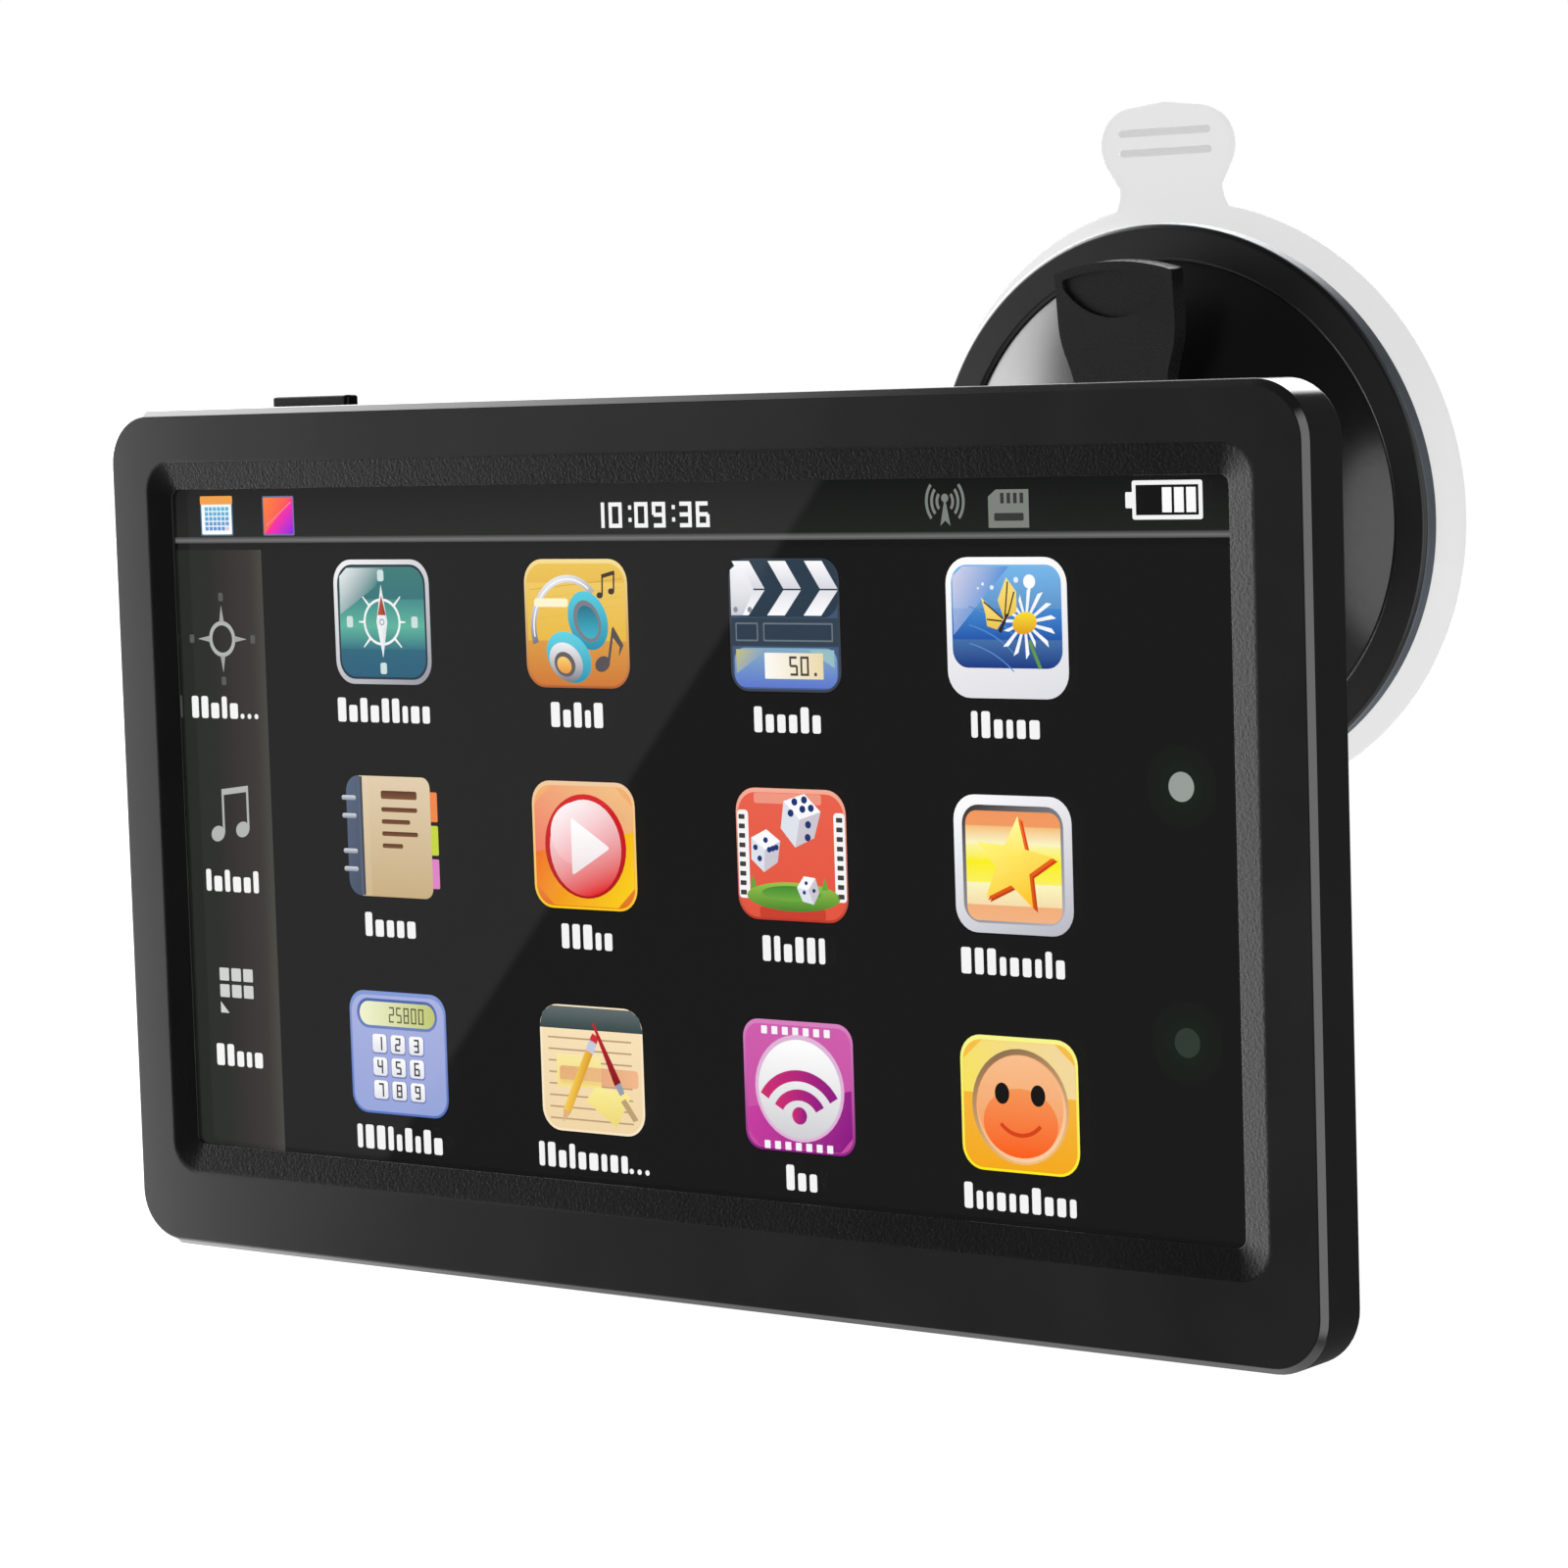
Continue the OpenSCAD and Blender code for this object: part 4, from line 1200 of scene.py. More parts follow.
def turn_flat(x, z, degrees, cx=0.0, cz=0.0):
    """A flat point turned about the origin, then moved to a centre."""
    c, s = math.cos(math.radians(degrees)), math.sin(math.radians(degrees))
    return cx + x * c - z * s, cz + x * s + z * c


DOWN, UP, RIGHT = (0, -1), (0, 1), (1, 0)
SEGMENTS = {
    "0": "abcdef",
    "1": "bc",
    "2": "abged",
    "3": "abgcd",
    "4": "fgbc",
    "5": "afgcd",
    "6": "afgedc",
    "7": "abc",
    "8": "abcdefg",
    "9": "abcdfg",
}


def digit(pic, text, x, z, w, h, stroke, shade):
    """A numeral of straight strokes, with its lower left corner at x, z."""
    mid, t = h / 2, stroke / 2
    ends = {
        "a": (t, h - t, w - t, h - t),
        "b": (w - t, h, w - t, mid),
        "c": (w - t, mid, w - t, 0),
        "d": (t, t, w - t, t),
        "e": (t, 0, t, mid),
        "f": (t, mid, t, h),
        "g": (t, mid, w - t, mid),
    }
    for key in SEGMENTS[text]:
        x0, z0, x1, z1 = ends[key]
        pic.line(x + x0, z + z0, x + x1, z + z1, stroke, shade, rise=0)


def caption(pic, x, z, width, seed, shade=WHITE, height=3.1, dots=0):
    """A caption with no lettering: a row of plain bars, as long as the words would be."""
    draw = random.Random(seed)
    left, right = x - width / 2, x + width / 2 - dots * 1.3
    low, at = z - height / 2, left
    while at < right - 0.8:
        w = min(draw.choice((0.9, 1.2, 1.2, 1.4)), right - at)
        tall = at == left or draw.random() < 0.28
        pic.rect(at, low, at + w, low + (height if tall else height * 0.7), shade, 0.3, rise=0)
        at += w + 0.55
    for k in range(dots):
        pic.oval(right + 0.6 + 1.25 * k, low + 0.35, 0.34, 0.34, shade, rise=0, steps=12)


def make_ground():
    """The dark page behind the icons: status bar, side bar and page dots."""
    ground = Picture("screen_ground", level=1)
    half_w, half_h = WINDOW_W / 2 + 1.0, WINDOW_H / 2 + 1.0
    ground.rect(-half_w, -half_h, half_w, half_h, (14, 14, 14))
    bar_z, side_x = 36.45, -66.2
    ground.rect(-half_w, bar_z, half_w, half_h, ((26, 29, 26), (4, 5, 5), UP), rise=0)
    steps = (-half_w, -76.0, -71.5, -68.5, side_x)
    tones = ((26, 30, 24), (27, 30, 25), (44, 39, 38), (50, 46, 43), (66, 66, 59))
    for k in range(4):
        shade = (tones[k], tones[k + 1], RIGHT)
        ground.rect(steps[k], -half_h, steps[k + 1], bar_z - 1, shade, rise=0)
    ground.level += 1
    ground.rect(-half_w, bar_z - 0.9, half_w, bar_z - 0.1, (9, 9, 9), rise=0)
    ground.rect(-half_w, bar_z - 0.1, half_w, bar_z + 0.25, ((66, 66, 66), (112, 112, 112), UP), rise=0)
    ground.rect(-half_w, bar_z + 0.25, half_w, bar_z + 0.75, ((112, 112, 112), (40, 41, 40), UP), rise=0)
    ground.level += 1
    for z, tone in ((8.4, (150, 156, 150)), (-20.6, (44, 54, 46))):
        for r, halo in ((4.6, (17, 20, 17)), (3.6, (15, 22, 16)), (2.7, (14, 26, 16))):
            ground.oval(74.2, z, r, r, halo)
        ground.oval(74.2, z, 1.7, 1.7, tone)
        ground.level -= 4
    ground.build()


def make_status():
    """Calendar and picture signs, clock, mast, card and battery in the bar along the top."""
    bar = Picture("screen_status", level=5)
    bar.rect(-76.8, 37.3, -71.0, 42.4, (70, 110, 140), 0.2)
    bar.rect(-76.6, 37.5, -71.2, 42.2, ((236, 246, 250), (255, 255, 255), DOWN), 0.2)
    bar.rect(-76.8, 41.4, -71.0, 42.5, (240, 160, 70), 0.2, rise=0)
    for i in range(6):
        for j in range(5):
            tone = (92, 150 + 8 * j, 214) if (i, j) != (5, 0) else (226, 200, 205)
            bar.rect(-76.0 + 0.74 * i, 38.0 + 0.64 * j, -75.4 + 0.74 * i, 38.5 + 0.64 * j, tone, rise=0)
    bar.level += 1
    bar.rect(-65.6, 37.3, -60.1, 42.4, (110, 110, 150), 0.2)
    bar.poly(
        [(-65.4, 42.2), (-65.4, 37.5), (-60.3, 42.2)], ((255, 70, 90), (255, 130, 40), (-1, 0.6)), rise=0
    )
    bar.poly([(-65.4, 37.5), (-60.3, 37.5), (-60.3, 42.2)], ((255, 40, 150), (120, 30, 230), (1, -1)), rise=0)
    bar.level += 1
    bar.line(-65.0, 38.6, -60.6, 41.6, 0.16, (255, 130, 150))
    at = -10.3
    for text in "10:09:36":
        if text == ":":
            for z in (38.7, 40.2):
                bar.rect(at + 0.35, z - 0.05, at + 0.8, z + 0.45, WHITE, rise=0)
            at += 1.3
        else:
            digit(bar, text, at, 37.95, 2.05, 3.1, 0.5, WHITE)
            at += 2.75
    mast = (122, 128, 122)
    bar.poly([(42.8, 41.2), (42.1, 37.9), (42.8, 38.5), (43.5, 37.9)], mast, rise=0)
    bar.oval(42.8, 41.1, 0.5, 0.5, mast, steps=14)
    for k in range(3):
        r = 1.3 + 0.75 * k
        for side in (0, 180):
            bar.ring(42.8, 40.7, r, r * 1.1, 0.36, mast, side - 42, side + 42, rise=0, steps=14)
    card = [(48.9, 37.6), (54.5, 37.6), (54.5, 42.0), (50.0, 42.0), (48.9, 41.2)]
    bar.poly(card, (124, 128, 122))
    for k in range(4):
        bar.rect(50.6 + 0.9 * k, 40.4, 51.1 + 0.9 * k, 41.6, (50, 54, 50), rise=0)
    bar.rect(49.7, 38.4, 53.8, 39.3, (50, 54, 50), 0.2)
    bar.rect(68.6, 38.4, 77.9, 42.8, WHITE, 0.3)
    bar.rect(67.7, 39.7, 68.9, 41.5, WHITE, 0.15, rise=0)
    bar.level += 1
    bar.rect(69.1, 38.9, 77.4, 42.3, (6, 7, 6))
    for k in range(3):
        bar.rect(72.6 + 1.6 * k, 39.2, 73.85 + 1.6 * k, 42.0, (252, 252, 252), rise=0)
    bar.build()


def make_side_bar():
    """Compass ring, note and tiles, each with its caption, down the left side."""
    side = Picture("screen_side_bar", x=-73.8, level=5)
    grey = (176, 180, 176)
    side.ring(0, 23.8, 2.35, 2.35, 0.55, grey)
    for k in range(4):
        tip = turn_flat(0, 4.4, 90 * k, 0, 23.8)
        left = turn_flat(-0.42, 2.2, 90 * k, 0, 23.8)
        right = turn_flat(0.42, 2.2, 90 * k, 0, 23.8)
        side.poly([tip, left, right], (160, 164, 160), rise=0)
        dot = turn_flat(0, 5.5, 90 * k, 0, 23.8)
        side.rect(dot[0] - 0.4, dot[1] - 0.55, dot[0] + 0.4, dot[1] + 0.55, (84, 88, 84), 0.2, rise=0)
    side.oval(-2.2, -1.9, 1.25, 1.0, grey, tilt=25, steps=20)
    side.oval(2.3, -1.2, 1.25, 1.0, grey, rise=0, tilt=25, steps=20)
    side.line(-1.1, -1.8, -1.1, 3.6, 0.36, grey, rise=0)
    side.line(3.35, -1.1, 3.35, 4.2, 0.36, grey, rise=0)
    side.poly([(-1.28, 4.0), (-1.28, 3.2), (3.53, 3.8), (3.53, 4.6)], grey, rise=0)
    for i in range(3):
        for j in range(2):
            side.rect(
                -3.0 + 2.15 * i,
                -21.4 - 2.2 * j,
                -1.3 + 2.15 * i,
                -19.7 - 2.2 * j,
                (206, 208, 206),
                0.15,
                rise=0,
            )
    side.poly([(-3.0, -24.2), (-3.0, -25.7), (-1.5, -25.7)], (206, 208, 206), rise=0)
    for z, width, dots, seed in ((14.8, 12.4, 3, 4), (-8.1, 9.8, 0, 6), (-31.3, 8.6, 0, 9)):
        caption(side, 0.2, z, width, seed, height=2.9, dots=dots)
    side.build()


def icon_compass(pic):
    pic.rect(-8.6, -8.4, 8.6, 8.4, (12, 12, 12), 3.2)
    pic.rect(-8.4, -8.2, 8.4, 8.2, ((240, 240, 242), (150, 152, 160), (0.6, -1)), 3.1)
    pic.rect(-7.75, -7.55, 7.75, 7.55, (36, 48, 62), 2.6)
    pic.rect(-7.45, -7.25, 7.45, 7.25, ((34, 92, 122), (58, 122, 118), UP), 2.4)
    pic.rect(-7.45, -0.6, 7.45, 3.0, ((64, 138, 136), (92, 178, 156), DOWN), rise=0)
    pic.rect(-7.45, -3.6, 7.45, -0.6, ((92, 178, 156), (48, 112, 130), DOWN), rise=0)
    pic.level += 1
    pic.poly(
        [(-7.3, 6.0), (-6.0, 7.1), (0.6, 7.1), (-1.0, 4.6), (-7.3, 1.0)],
        ((226, 230, 232), (74, 132, 132), (1, -0.9)),
    )
    pic.ring(0, 0, 3.25, 3.1, 0.34, WHITE)
    for k in (1, 2, 3, 5, 6, 7):
        x0, z0 = turn_flat(0, 3.0, 45 * k)
        x1, z1 = turn_flat(0, 4.1 if k % 2 == 0 else 4.7, 45 * k)
        pic.line(x0, z0, x1, z1, 0.36, WHITE, 0.16, rise=0)
    for k in range(4):
        x, z = turn_flat(0, 6.1 if k % 2 == 0 else 5.7, 90 * k)
        pic.rect(x - 0.55, z - 0.75, x + 0.55, z + 0.75, (206, 224, 222), 0.3, rise=0)
    pic.level += 1
    pic.poly([(0, 4.9), (-0.95, 0), (0, -4.7), (0.95, 0)], ((252, 252, 252), (214, 222, 226), RIGHT))
    pic.poly([(0, 3.5), (-0.72, 0.9), (0.72, 0.9)], ((204, 84, 54), (128, 44, 30), RIGHT))
    pic.oval(0, 0, 0.85, 0.85, (236, 238, 240), steps=20)
    pic.ring(0, 0, 0.45, 0.45, 0.16, (150, 160, 168), steps=16)


def note(pic, x, z, size, shade, lean=0):
    """A quaver."""
    pic.oval(x, z, 1.25 * size, 0.95 * size, shade, tilt=25, rise=0, steps=20)
    pic.line(
        x + 1.0 * size, z + 0.2 * size, x + (1.6 + lean) * size, z + 4.6 * size, 0.36 * size, shade, rise=0
    )
    pic.poly(
        [
            (x + (1.6 + lean) * size, z + 4.8 * size),
            (x + (1.5 + lean) * size, z + 3.4 * size),
            (x + (2.6 + lean) * size, z + 2.2 * size),
            (x + (2.4 + lean) * size, z + 1.0 * size),
            (x + (3.2 + lean) * size, z + 2.4 * size),
        ],
        shade,
        rise=0,
    )


def icon_music(pic):
    pic.tile(((206, 118, 46), (236, 196, 84), UP), ((246, 222, 150), (178, 92, 40), DOWN))
    pic.rect(-8.1, -2.2, 8.1, 5.2, ((232, 184, 62), (238, 200, 96), UP), rise=0)
    for k in range(4):
        pic.line(-7.6, 0.4 + 1.3 * k, 7.6, 2.4 + 1.1 * k, 0.1, (206, 158, 60), rise=0)
    pic.level += 1
    pic.ring(-1.4, -0.4, 6.2, 6.6, 0.95, ((232, 234, 238), (112, 114, 124), (0.4, -1)), 52, 208, tilt=-8)
    pic.ring(-1.4, -0.4, 5.75, 6.15, 0.2, (250, 250, 252), 60, 200, tilt=-8)
    pic.oval(1.9, 0.4, 3.1, 3.9, ((84, 204, 222), (32, 138, 168), DOWN), tilt=28)
    pic.oval(1.8, 0.3, 2.1, 2.8, (120, 124, 134), tilt=28)
    pic.oval(1.9, 0.2, 1.6, 2.2, ((26, 110, 136), (60, 176, 196), DOWN), tilt=28)
    pic.oval(-1.4, -4.3, 3.9, 3.0, ((96, 212, 228), (34, 142, 170), DOWN), tilt=-32)
    pic.oval(-1.9, -4.9, 2.9, 2.3, ((240, 240, 244), (120, 120, 132), DOWN), tilt=-32)
    pic.oval(-2.1, -5.2, 1.8, 1.5, (98, 92, 96), tilt=-32)
    pic.oval(-2.2, -5.3, 1.25, 1.0, ((250, 206, 110), (232, 150, 50), DOWN), tilt=-32)
    pic.rect(-6.9, 2.1, -1.3, 3.2, (252, 244, 206), 0.4)
    note(pic, 4.1, -5.1, 1.0, (84, 76, 78), 0.3)
    pic.oval(4.0, 3.6, 0.5, 0.4, INK, rise=0, steps=14)
    pic.oval(5.9, 4.1, 0.5, 0.4, INK, rise=0, steps=14)
    pic.line(4.4, 3.6, 4.5, 6.1, 0.22, INK, rise=0)
    pic.line(6.3, 4.1, 6.4, 6.6, 0.22, INK, rise=0)
    pic.line(4.4, 6.0, 6.5, 6.5, 0.5, INK, rise=0)


def icon_film(pic):
    dark = (40, 58, 74)
    pic.tile(((70, 92, 140), (60, 78, 92), UP), (58, 66, 78), r=2.6)
    pic.rect(-8.3, 1.0, 8.3, 8.1, dark, 2.2)
    for k in range(3):
        x = -8.1 + 5.6 * k
        pic.poly(
            [(x + 0.2, 7.9), (x + 2.9, 7.9), (x + 5.2, 4.5), (x + 2.5, 4.5)],
            ((252, 252, 254), (214, 214, 224), DOWN),
            rise=0,
        )
        pic.poly(
            [(x + 2.5, 4.3), (x + 5.2, 4.3), (x + 2.6, 1.2), (x - 0.1, 1.2)],
            ((226, 226, 234), (252, 252, 254), DOWN),
            rise=0,
        )
    pic.level += 1
    pic.poly(
        [(-8.2, 6.8), (-6.6, 7.9), (-4.6, 4.4), (-6.4, 1.2), (-8.2, 1.2)],
        ((250, 250, 252), (206, 206, 214), DOWN),
    )
    for x in (-7.5, -5.3):
        pic.oval(x, 1.9, 0.36, 0.36, (140, 142, 152), rise=0, steps=12)
    pic.level += 1
    pic.rect(-8.2, -2.6, 8.2, 0.9, (50, 64, 78), 0.2)
    for x0, x1 in ((-7.6, -4.1), (-3.3, 7.4)):
        pic.rect(x0, -2.0, x1, 0.3, (104, 118, 130), 0.15, rise=0)
    pic.level += 1
    for x0, x1 in ((-7.4, -4.3), (-3.1, 7.2)):
        pic.rect(x0, -1.8, x1, 0.1, (44, 60, 76), 0.1, rise=0)
    pic.rect(-7.9, -7.7, 7.9, -2.8, ((92, 118, 206), (132, 172, 196), UP), 1.6)
    pic.poly([(-7.6, -3.0), (-2.6, -3.0), (-7.6, -6.0)], ((198, 192, 120), (128, 160, 200), (1, -1)), rise=0)
    pic.poly([(7.5, -3.0), (7.5, -5.2), (3.6, -3.0)], (150, 190, 196), rise=0)
    pic.level += 1
    pic.rect(-3.2, -6.6, 5.8, -3.4, ((252, 250, 244), (236, 216, 170), RIGHT), 0.1)
    for k, text in enumerate("50"):
        digit(pic, text, 0.6 + 1.7 * k, -6.2, 1.3, 2.4, 0.3, (70, 66, 56))
    pic.rect(4.4, -6.2, 4.8, -5.8, (70, 66, 56))


def icon_photo(pic):
    pic.rect(-8.9, -8.7, 8.9, 8.5, (10, 10, 10), 3.3)
    pic.rect(-8.7, -8.5, 8.7, 8.3, ((255, 255, 255), (222, 222, 228), (0.2, -1)), 3.2)
    pic.rect(-7.9, -4.9, 7.9, 7.4, ((18, 52, 128), (120, 184, 236), UP), 2.2)
    pic.rect(-7.9, -1.5, 7.9, 2.2, ((30, 84, 170), (66, 136, 208), UP), rise=0)
    pic.poly(
        [(-7.7, 6.0), (-6.2, 7.2), (0.5, 7.2), (-7.7, -1.0)], ((206, 208, 232), (86, 146, 214), (1, -0.6))
    )
    for k in range(3):
        pic.ring(-9.0, -12.0 + 2.2 * k, 13, 10.5, 0.14, (88, 140, 206), 40, 74, rise=0, steps=14)
    pic.oval(3.4, 5.4, 0.85, 0.85, (252, 254, 255), rise=0, steps=20)
    for x, z, r in ((1.5, 5.6, 0.35), (-2.0, 4.7, 0.28), (-3.3, 5.1, 0.2), (-4.0, 4.6, 0.15)):
        pic.oval(x, z, r, r, (226, 240, 250), rise=0, steps=12)
    pic.level += 1
    pic.line(3.2, -1.6, 4.7, -4.9, 0.45, (96, 150, 66))
    for k in range(15):
        a = 24 * k + 6
        far = 4.4 if 300 < a or a < 90 or 200 < a < 280 else 3.3
        reach = ((1.1, a - 9), (far, a), (far - 0.6, a + 7), (1.1, a + 9))
        petal = [turn_flat(out, 0, angle, 2.7, 0.6) for out, angle in reach]
        along = (petal[1][0] - petal[0][0], petal[1][1] - petal[0][1])
        pic.poly(petal, ((236, 240, 248), (255, 255, 255), along), rise=0)
    pic.level += 1
    pic.oval(2.6, 0.5, 1.75, 1.3, ((250, 220, 50), (224, 156, 26), DOWN), tilt=15)
    wings = (
        [(-0.3, 0.9), (-1.2, 3.2), (0.1, 5.9), (1.5, 4.2), (1.5, 1.8)],
        [(-0.4, 0.9), (-3.6, 3.5), (-3.0, 1.6), (-2.8, 0.1), (-1.4, -0.3)],
    )
    for wing in wings:
        pic.poly(wing, ((238, 196, 70), (250, 226, 130), UP), rise=0)
    pic.level += 1
    for x0, z0, x1, z1 in (
        (-0.2, 1.2, 0.3, 5.4), (0.2, 1.2, 1.2, 4.2), (-0.5, 1.0, -3.2, 3.0), (-0.6, 0.7, -2.8, 0.9)
    ):
        pic.line(x0, z0, x1, z1, 0.2, (74, 56, 24), rise=0)
    pic.line(-1.0, -0.6, 0.2, 1.6, 0.5, (40, 32, 24), 0.25)


def icon_book(pic):
    pic.rect(-7.8, -8.2, 7.2, 8.2, (10, 10, 10), 1.8)
    for k, tone in enumerate(((238, 132, 70), (196, 210, 60), (222, 130, 196))):
        pic.rect(6.2, 2.2 - 4.4 * k, 8.4, 6.1 - 4.4 * k, tone, 0.2, rise=0)
    pic.level += 1
    pic.rect(-7.6, -8.0, 0, 8.0, ((46, 58, 80), (84, 98, 122), (-1, 0.3)), 2.2)
    pic.rect(-5.2, -8.0, 7.2, 8.0, ((198, 172, 128), (224, 204, 172), UP), 1.4)
    pic.rect(-5.2, -8.0, -3.6, 8.0, ((206, 182, 142), (226, 206, 174), UP), rise=0)
    pic.level += 1
    pic.rect(-5.4, -7.9, -4.7, 7.9, ((40, 50, 68), (96, 104, 120), (-1, 0)))
    for z in (4.9, 2.5, -2.2, -4.6):
        pic.rect(-8.4, z - 0.22, -5.9, z + 0.42, ((214, 218, 226), (130, 138, 152), DOWN), 0.28, rise=0)
    pic.level += 1
    brown = ((86, 46, 26), (124, 78, 46), DOWN)
    pic.rect(-1.4, 5.0, 4.9, 6.1, brown, 0.3, rise=0)
    for k, w in enumerate((6.3, 5.0, 6.3, 3.6)):
        pic.rect(-1.4, 3.3 - 1.6 * k, -1.4 + w, 3.9 - 1.6 * k, brown, 0.25, rise=0)


def icon_play(pic):
    pic.tile(((226, 112, 24), (244, 176, 110), UP), ((240, 200, 160), (250, 200, 20), DOWN))
    pic.poly(
        [(-8.1, -1.0), (8.1, 2.0), (8.1, -5.2), (5.3, -7.8), (-5.3, -7.8), (-8.1, -5.2)],
        ((238, 110, 24), (250, 206, 20), (1, -0.6)),
    )
    pic.poly(
        [(-8.1, -1.0), (8.1, 2.0), (8.1, 5.2), (5.3, 7.6), (-5.3, 7.6), (-8.1, 5.2)],
        ((238, 120, 100), (240, 190, 130), (0.7, 1)),
        rise=0,
    )
    pic.level += 1
    pic.oval(0.2, -0.1, 6.7, 6.7, ((214, 22, 28), (170, 12, 20), DOWN))
    pic.oval(0.2, -0.3, 5.9, 6.2, ((250, 236, 238), (226, 24, 28), (0.35, -1)))
    pic.oval(-0.9, 1.5, 4.6, 4.1, ((252, 244, 246), (240, 150, 156), (0.5, -1)))
    pic.poly(
        round_path([(-2.1, -3.9, 0.5), (4.3, -0.2, 0.6), (-2.1, 3.6, 0.5)], 5),
        ((255, 255, 255), (240, 226, 228), DOWN),
    )


def die(pic, x, z, size, tilt, spots):
    """A die in a three-quarter view: top, left and right faces."""
    def at(u, v):
        return turn_flat(u * size, v * size, tilt, x, z)

    faces = (
        ([(0, 1.25), (-1.05, 0.62), (0, 0.05), (1.05, 0.7)], (250, 250, 252)),
        ([(-1.05, 0.62), (0, 0.05), (0.02, -1.25), (-0.95, -0.62)], (222, 226, 236)),
        ([(0, 0.05), (1.05, 0.7), (0.95, -0.55), (0.02, -1.25)], (204, 198, 208)),
    )
    for points, tone in faces:
        pic.poly([at(*p) for p in points], tone, rise=0)
    pic.level += 1
    for u, v in spots:
        cx, cz = at(u, v)
        pic.oval(cx, cz, 0.17 * size, 0.17 * size, (24, 50, 112), rise=0, steps=12)


def icon_game(pic):
    pic.tile(((226, 84, 62), (232, 96, 74), UP), ((246, 172, 150), (186, 52, 36), DOWN))
    pic.rect(-5.6, 6.3, 4.8, 7.6, (238, 150, 130), 0.3, rise=0)
    pic.rect(-5.2, -7.9, 5.0, -6.6, (200, 62, 44), 0.3, rise=0)
    for x in (-8.3, 6.6):
        pic.rect(x, -5.6, x + 1.7, 5.4, (246, 246, 246), 0.5, rise=0)
    pic.level += 1
    for x in (-8.1, 7.0):
        for k in range(9):
            pic.rect(x, -5.2 + 1.18 * k, x + 0.95, -4.6 + 1.18 * k, (60, 60, 60), 0.1, rise=0)
    pic.oval(0.1, -5.2, 7.2, 1.8, ((66, 132, 44), (150, 196, 72), UP))
    pic.oval(-0.2, -4.8, 4.6, 0.95, ((112, 172, 62), (64, 136, 48), UP))
    for x, z in ((-6.1, -4.2), (5.0, -4.2)):
        pic.poly([(x - 0.5, z), (x + 0.5, z), (x, z + 1.5)], (92, 168, 60), rise=0)
    top = [(-0.45, 0.75), (0.05, 0.55), (0.5, 0.72), (0.05, 0.98)]
    die(pic, 1.4, 4.3, 2.75, -14, top + [(0.5, -0.05), (0.6, -0.62), (-0.55, 0.2)])
    die(
        pic,
        -4.1,
        0.4,
        2.15,
        -6,
        [(0, 0.62), (0.3, 0.1), (0.55, 0.2), (0.8, 0.3), (-0.7, 0.1), (-0.35, -0.5)],
    )
    die(pic, 2.5, -4.3, 1.5, 22, [(-0.5, 0), (0.5, -0.2), (0, 0.65)])


def icon_star(pic):
    pic.rect(-8.7, -8.5, 8.7, 8.5, (10, 10, 10), 3.2)
    pic.rect(-8.5, -8.3, 8.5, 8.3, ((252, 252, 254), (186, 186, 196), (0.5, -1)), 3.1)
    pic.rect(-7.3, -7.1, 7.3, 7.1, ((60, 52, 48), (176, 176, 184), (0.6, -1)), 2.4)
    pic.rect(-6.8, -6.8, 6.9, 6.4, ((242, 178, 128), (240, 150, 92), UP), 1.6)
    bands = (
        (-4.9, -2.2, (244, 220, 170), (250, 246, 190)),
        (-2.2, 0.3, (250, 240, 90), (250, 238, 20)),
        (0.3, 2.4, (250, 238, 20), (250, 244, 160)),
        (2.4, 4.6, (250, 246, 200), (244, 190, 120)),
    )
    for z0, z1, low, high in bands:
        pic.rect(-6.8, z0, 6.9, z1, (low, high, UP), rise=0)
    pic.level += 1

    def star(x, z, size):
        return [turn_flat(0, size * (0.44 if k % 2 else 1), 36 * k - 8, x, z) for k in range(10)]

    pic.poly(star(0.65, -0.35, 5.9), ((232, 60, 20), (180, 60, 10), DOWN))
    pic.poly(star(0.35, -0.15, 5.9), ((240, 110, 20), (220, 80, 10), DOWN))
    pic.poly(star(0, 0.1, 5.8), ((255, 248, 120), (252, 192, 20), (0.5, -1)))
    pic.poly(
        [
            turn_flat(0, 5.8, -8, 0, 0.1),
            turn_flat(0, 2.55, 28, 0, 0.1),
            (0, 0.1),
            turn_flat(0, 2.55, -44, 0, 0.1),
        ],
        ((255, 226, 70), (255, 250, 160), UP),
    )


def icon_calculator(pic):
    pic.tile(((150, 164, 216), (168, 176, 222), UP), ((128, 152, 214), (84, 116, 190), DOWN), r=2.6)
    pic.rect(-7.2, 3.2, 7.0, 7.2, ((72, 98, 168), (104, 128, 190), DOWN), 2.0)
    pic.rect(-6.7, 3.6, 6.6, 6.8, ((240, 242, 206), (190, 196, 108), RIGHT), 1.6)
    for k, text in enumerate("25800"):
        digit(pic, text, -1.5 + 1.3 * k, 4.1, 0.95, 2.1, 0.22, (92, 92, 60))
    keys = [(i, j, -4.6 + 3.25 * i, -3.1 * j) for i in range(3) for j in range(3)]
    for i, j, x, z in keys:
        pic.rect(x - 0.1, z - 0.2, x + 2.65, z + 2.45, (112, 124, 178), 0.5, rise=0)
    pic.level += 1
    for i, j, x, z in keys:
        pic.rect(x, z, x + 2.5, z + 2.45, ((226, 228, 236), (252, 252, 252), UP), 0.45, rise=0)
    pic.level += 1
    for i, j, x, z in keys:
        digit(pic, str(1 + i + 3 * j), x + 0.75, z + 0.3, 1.0, 1.8, 0.26, (60, 56, 60))


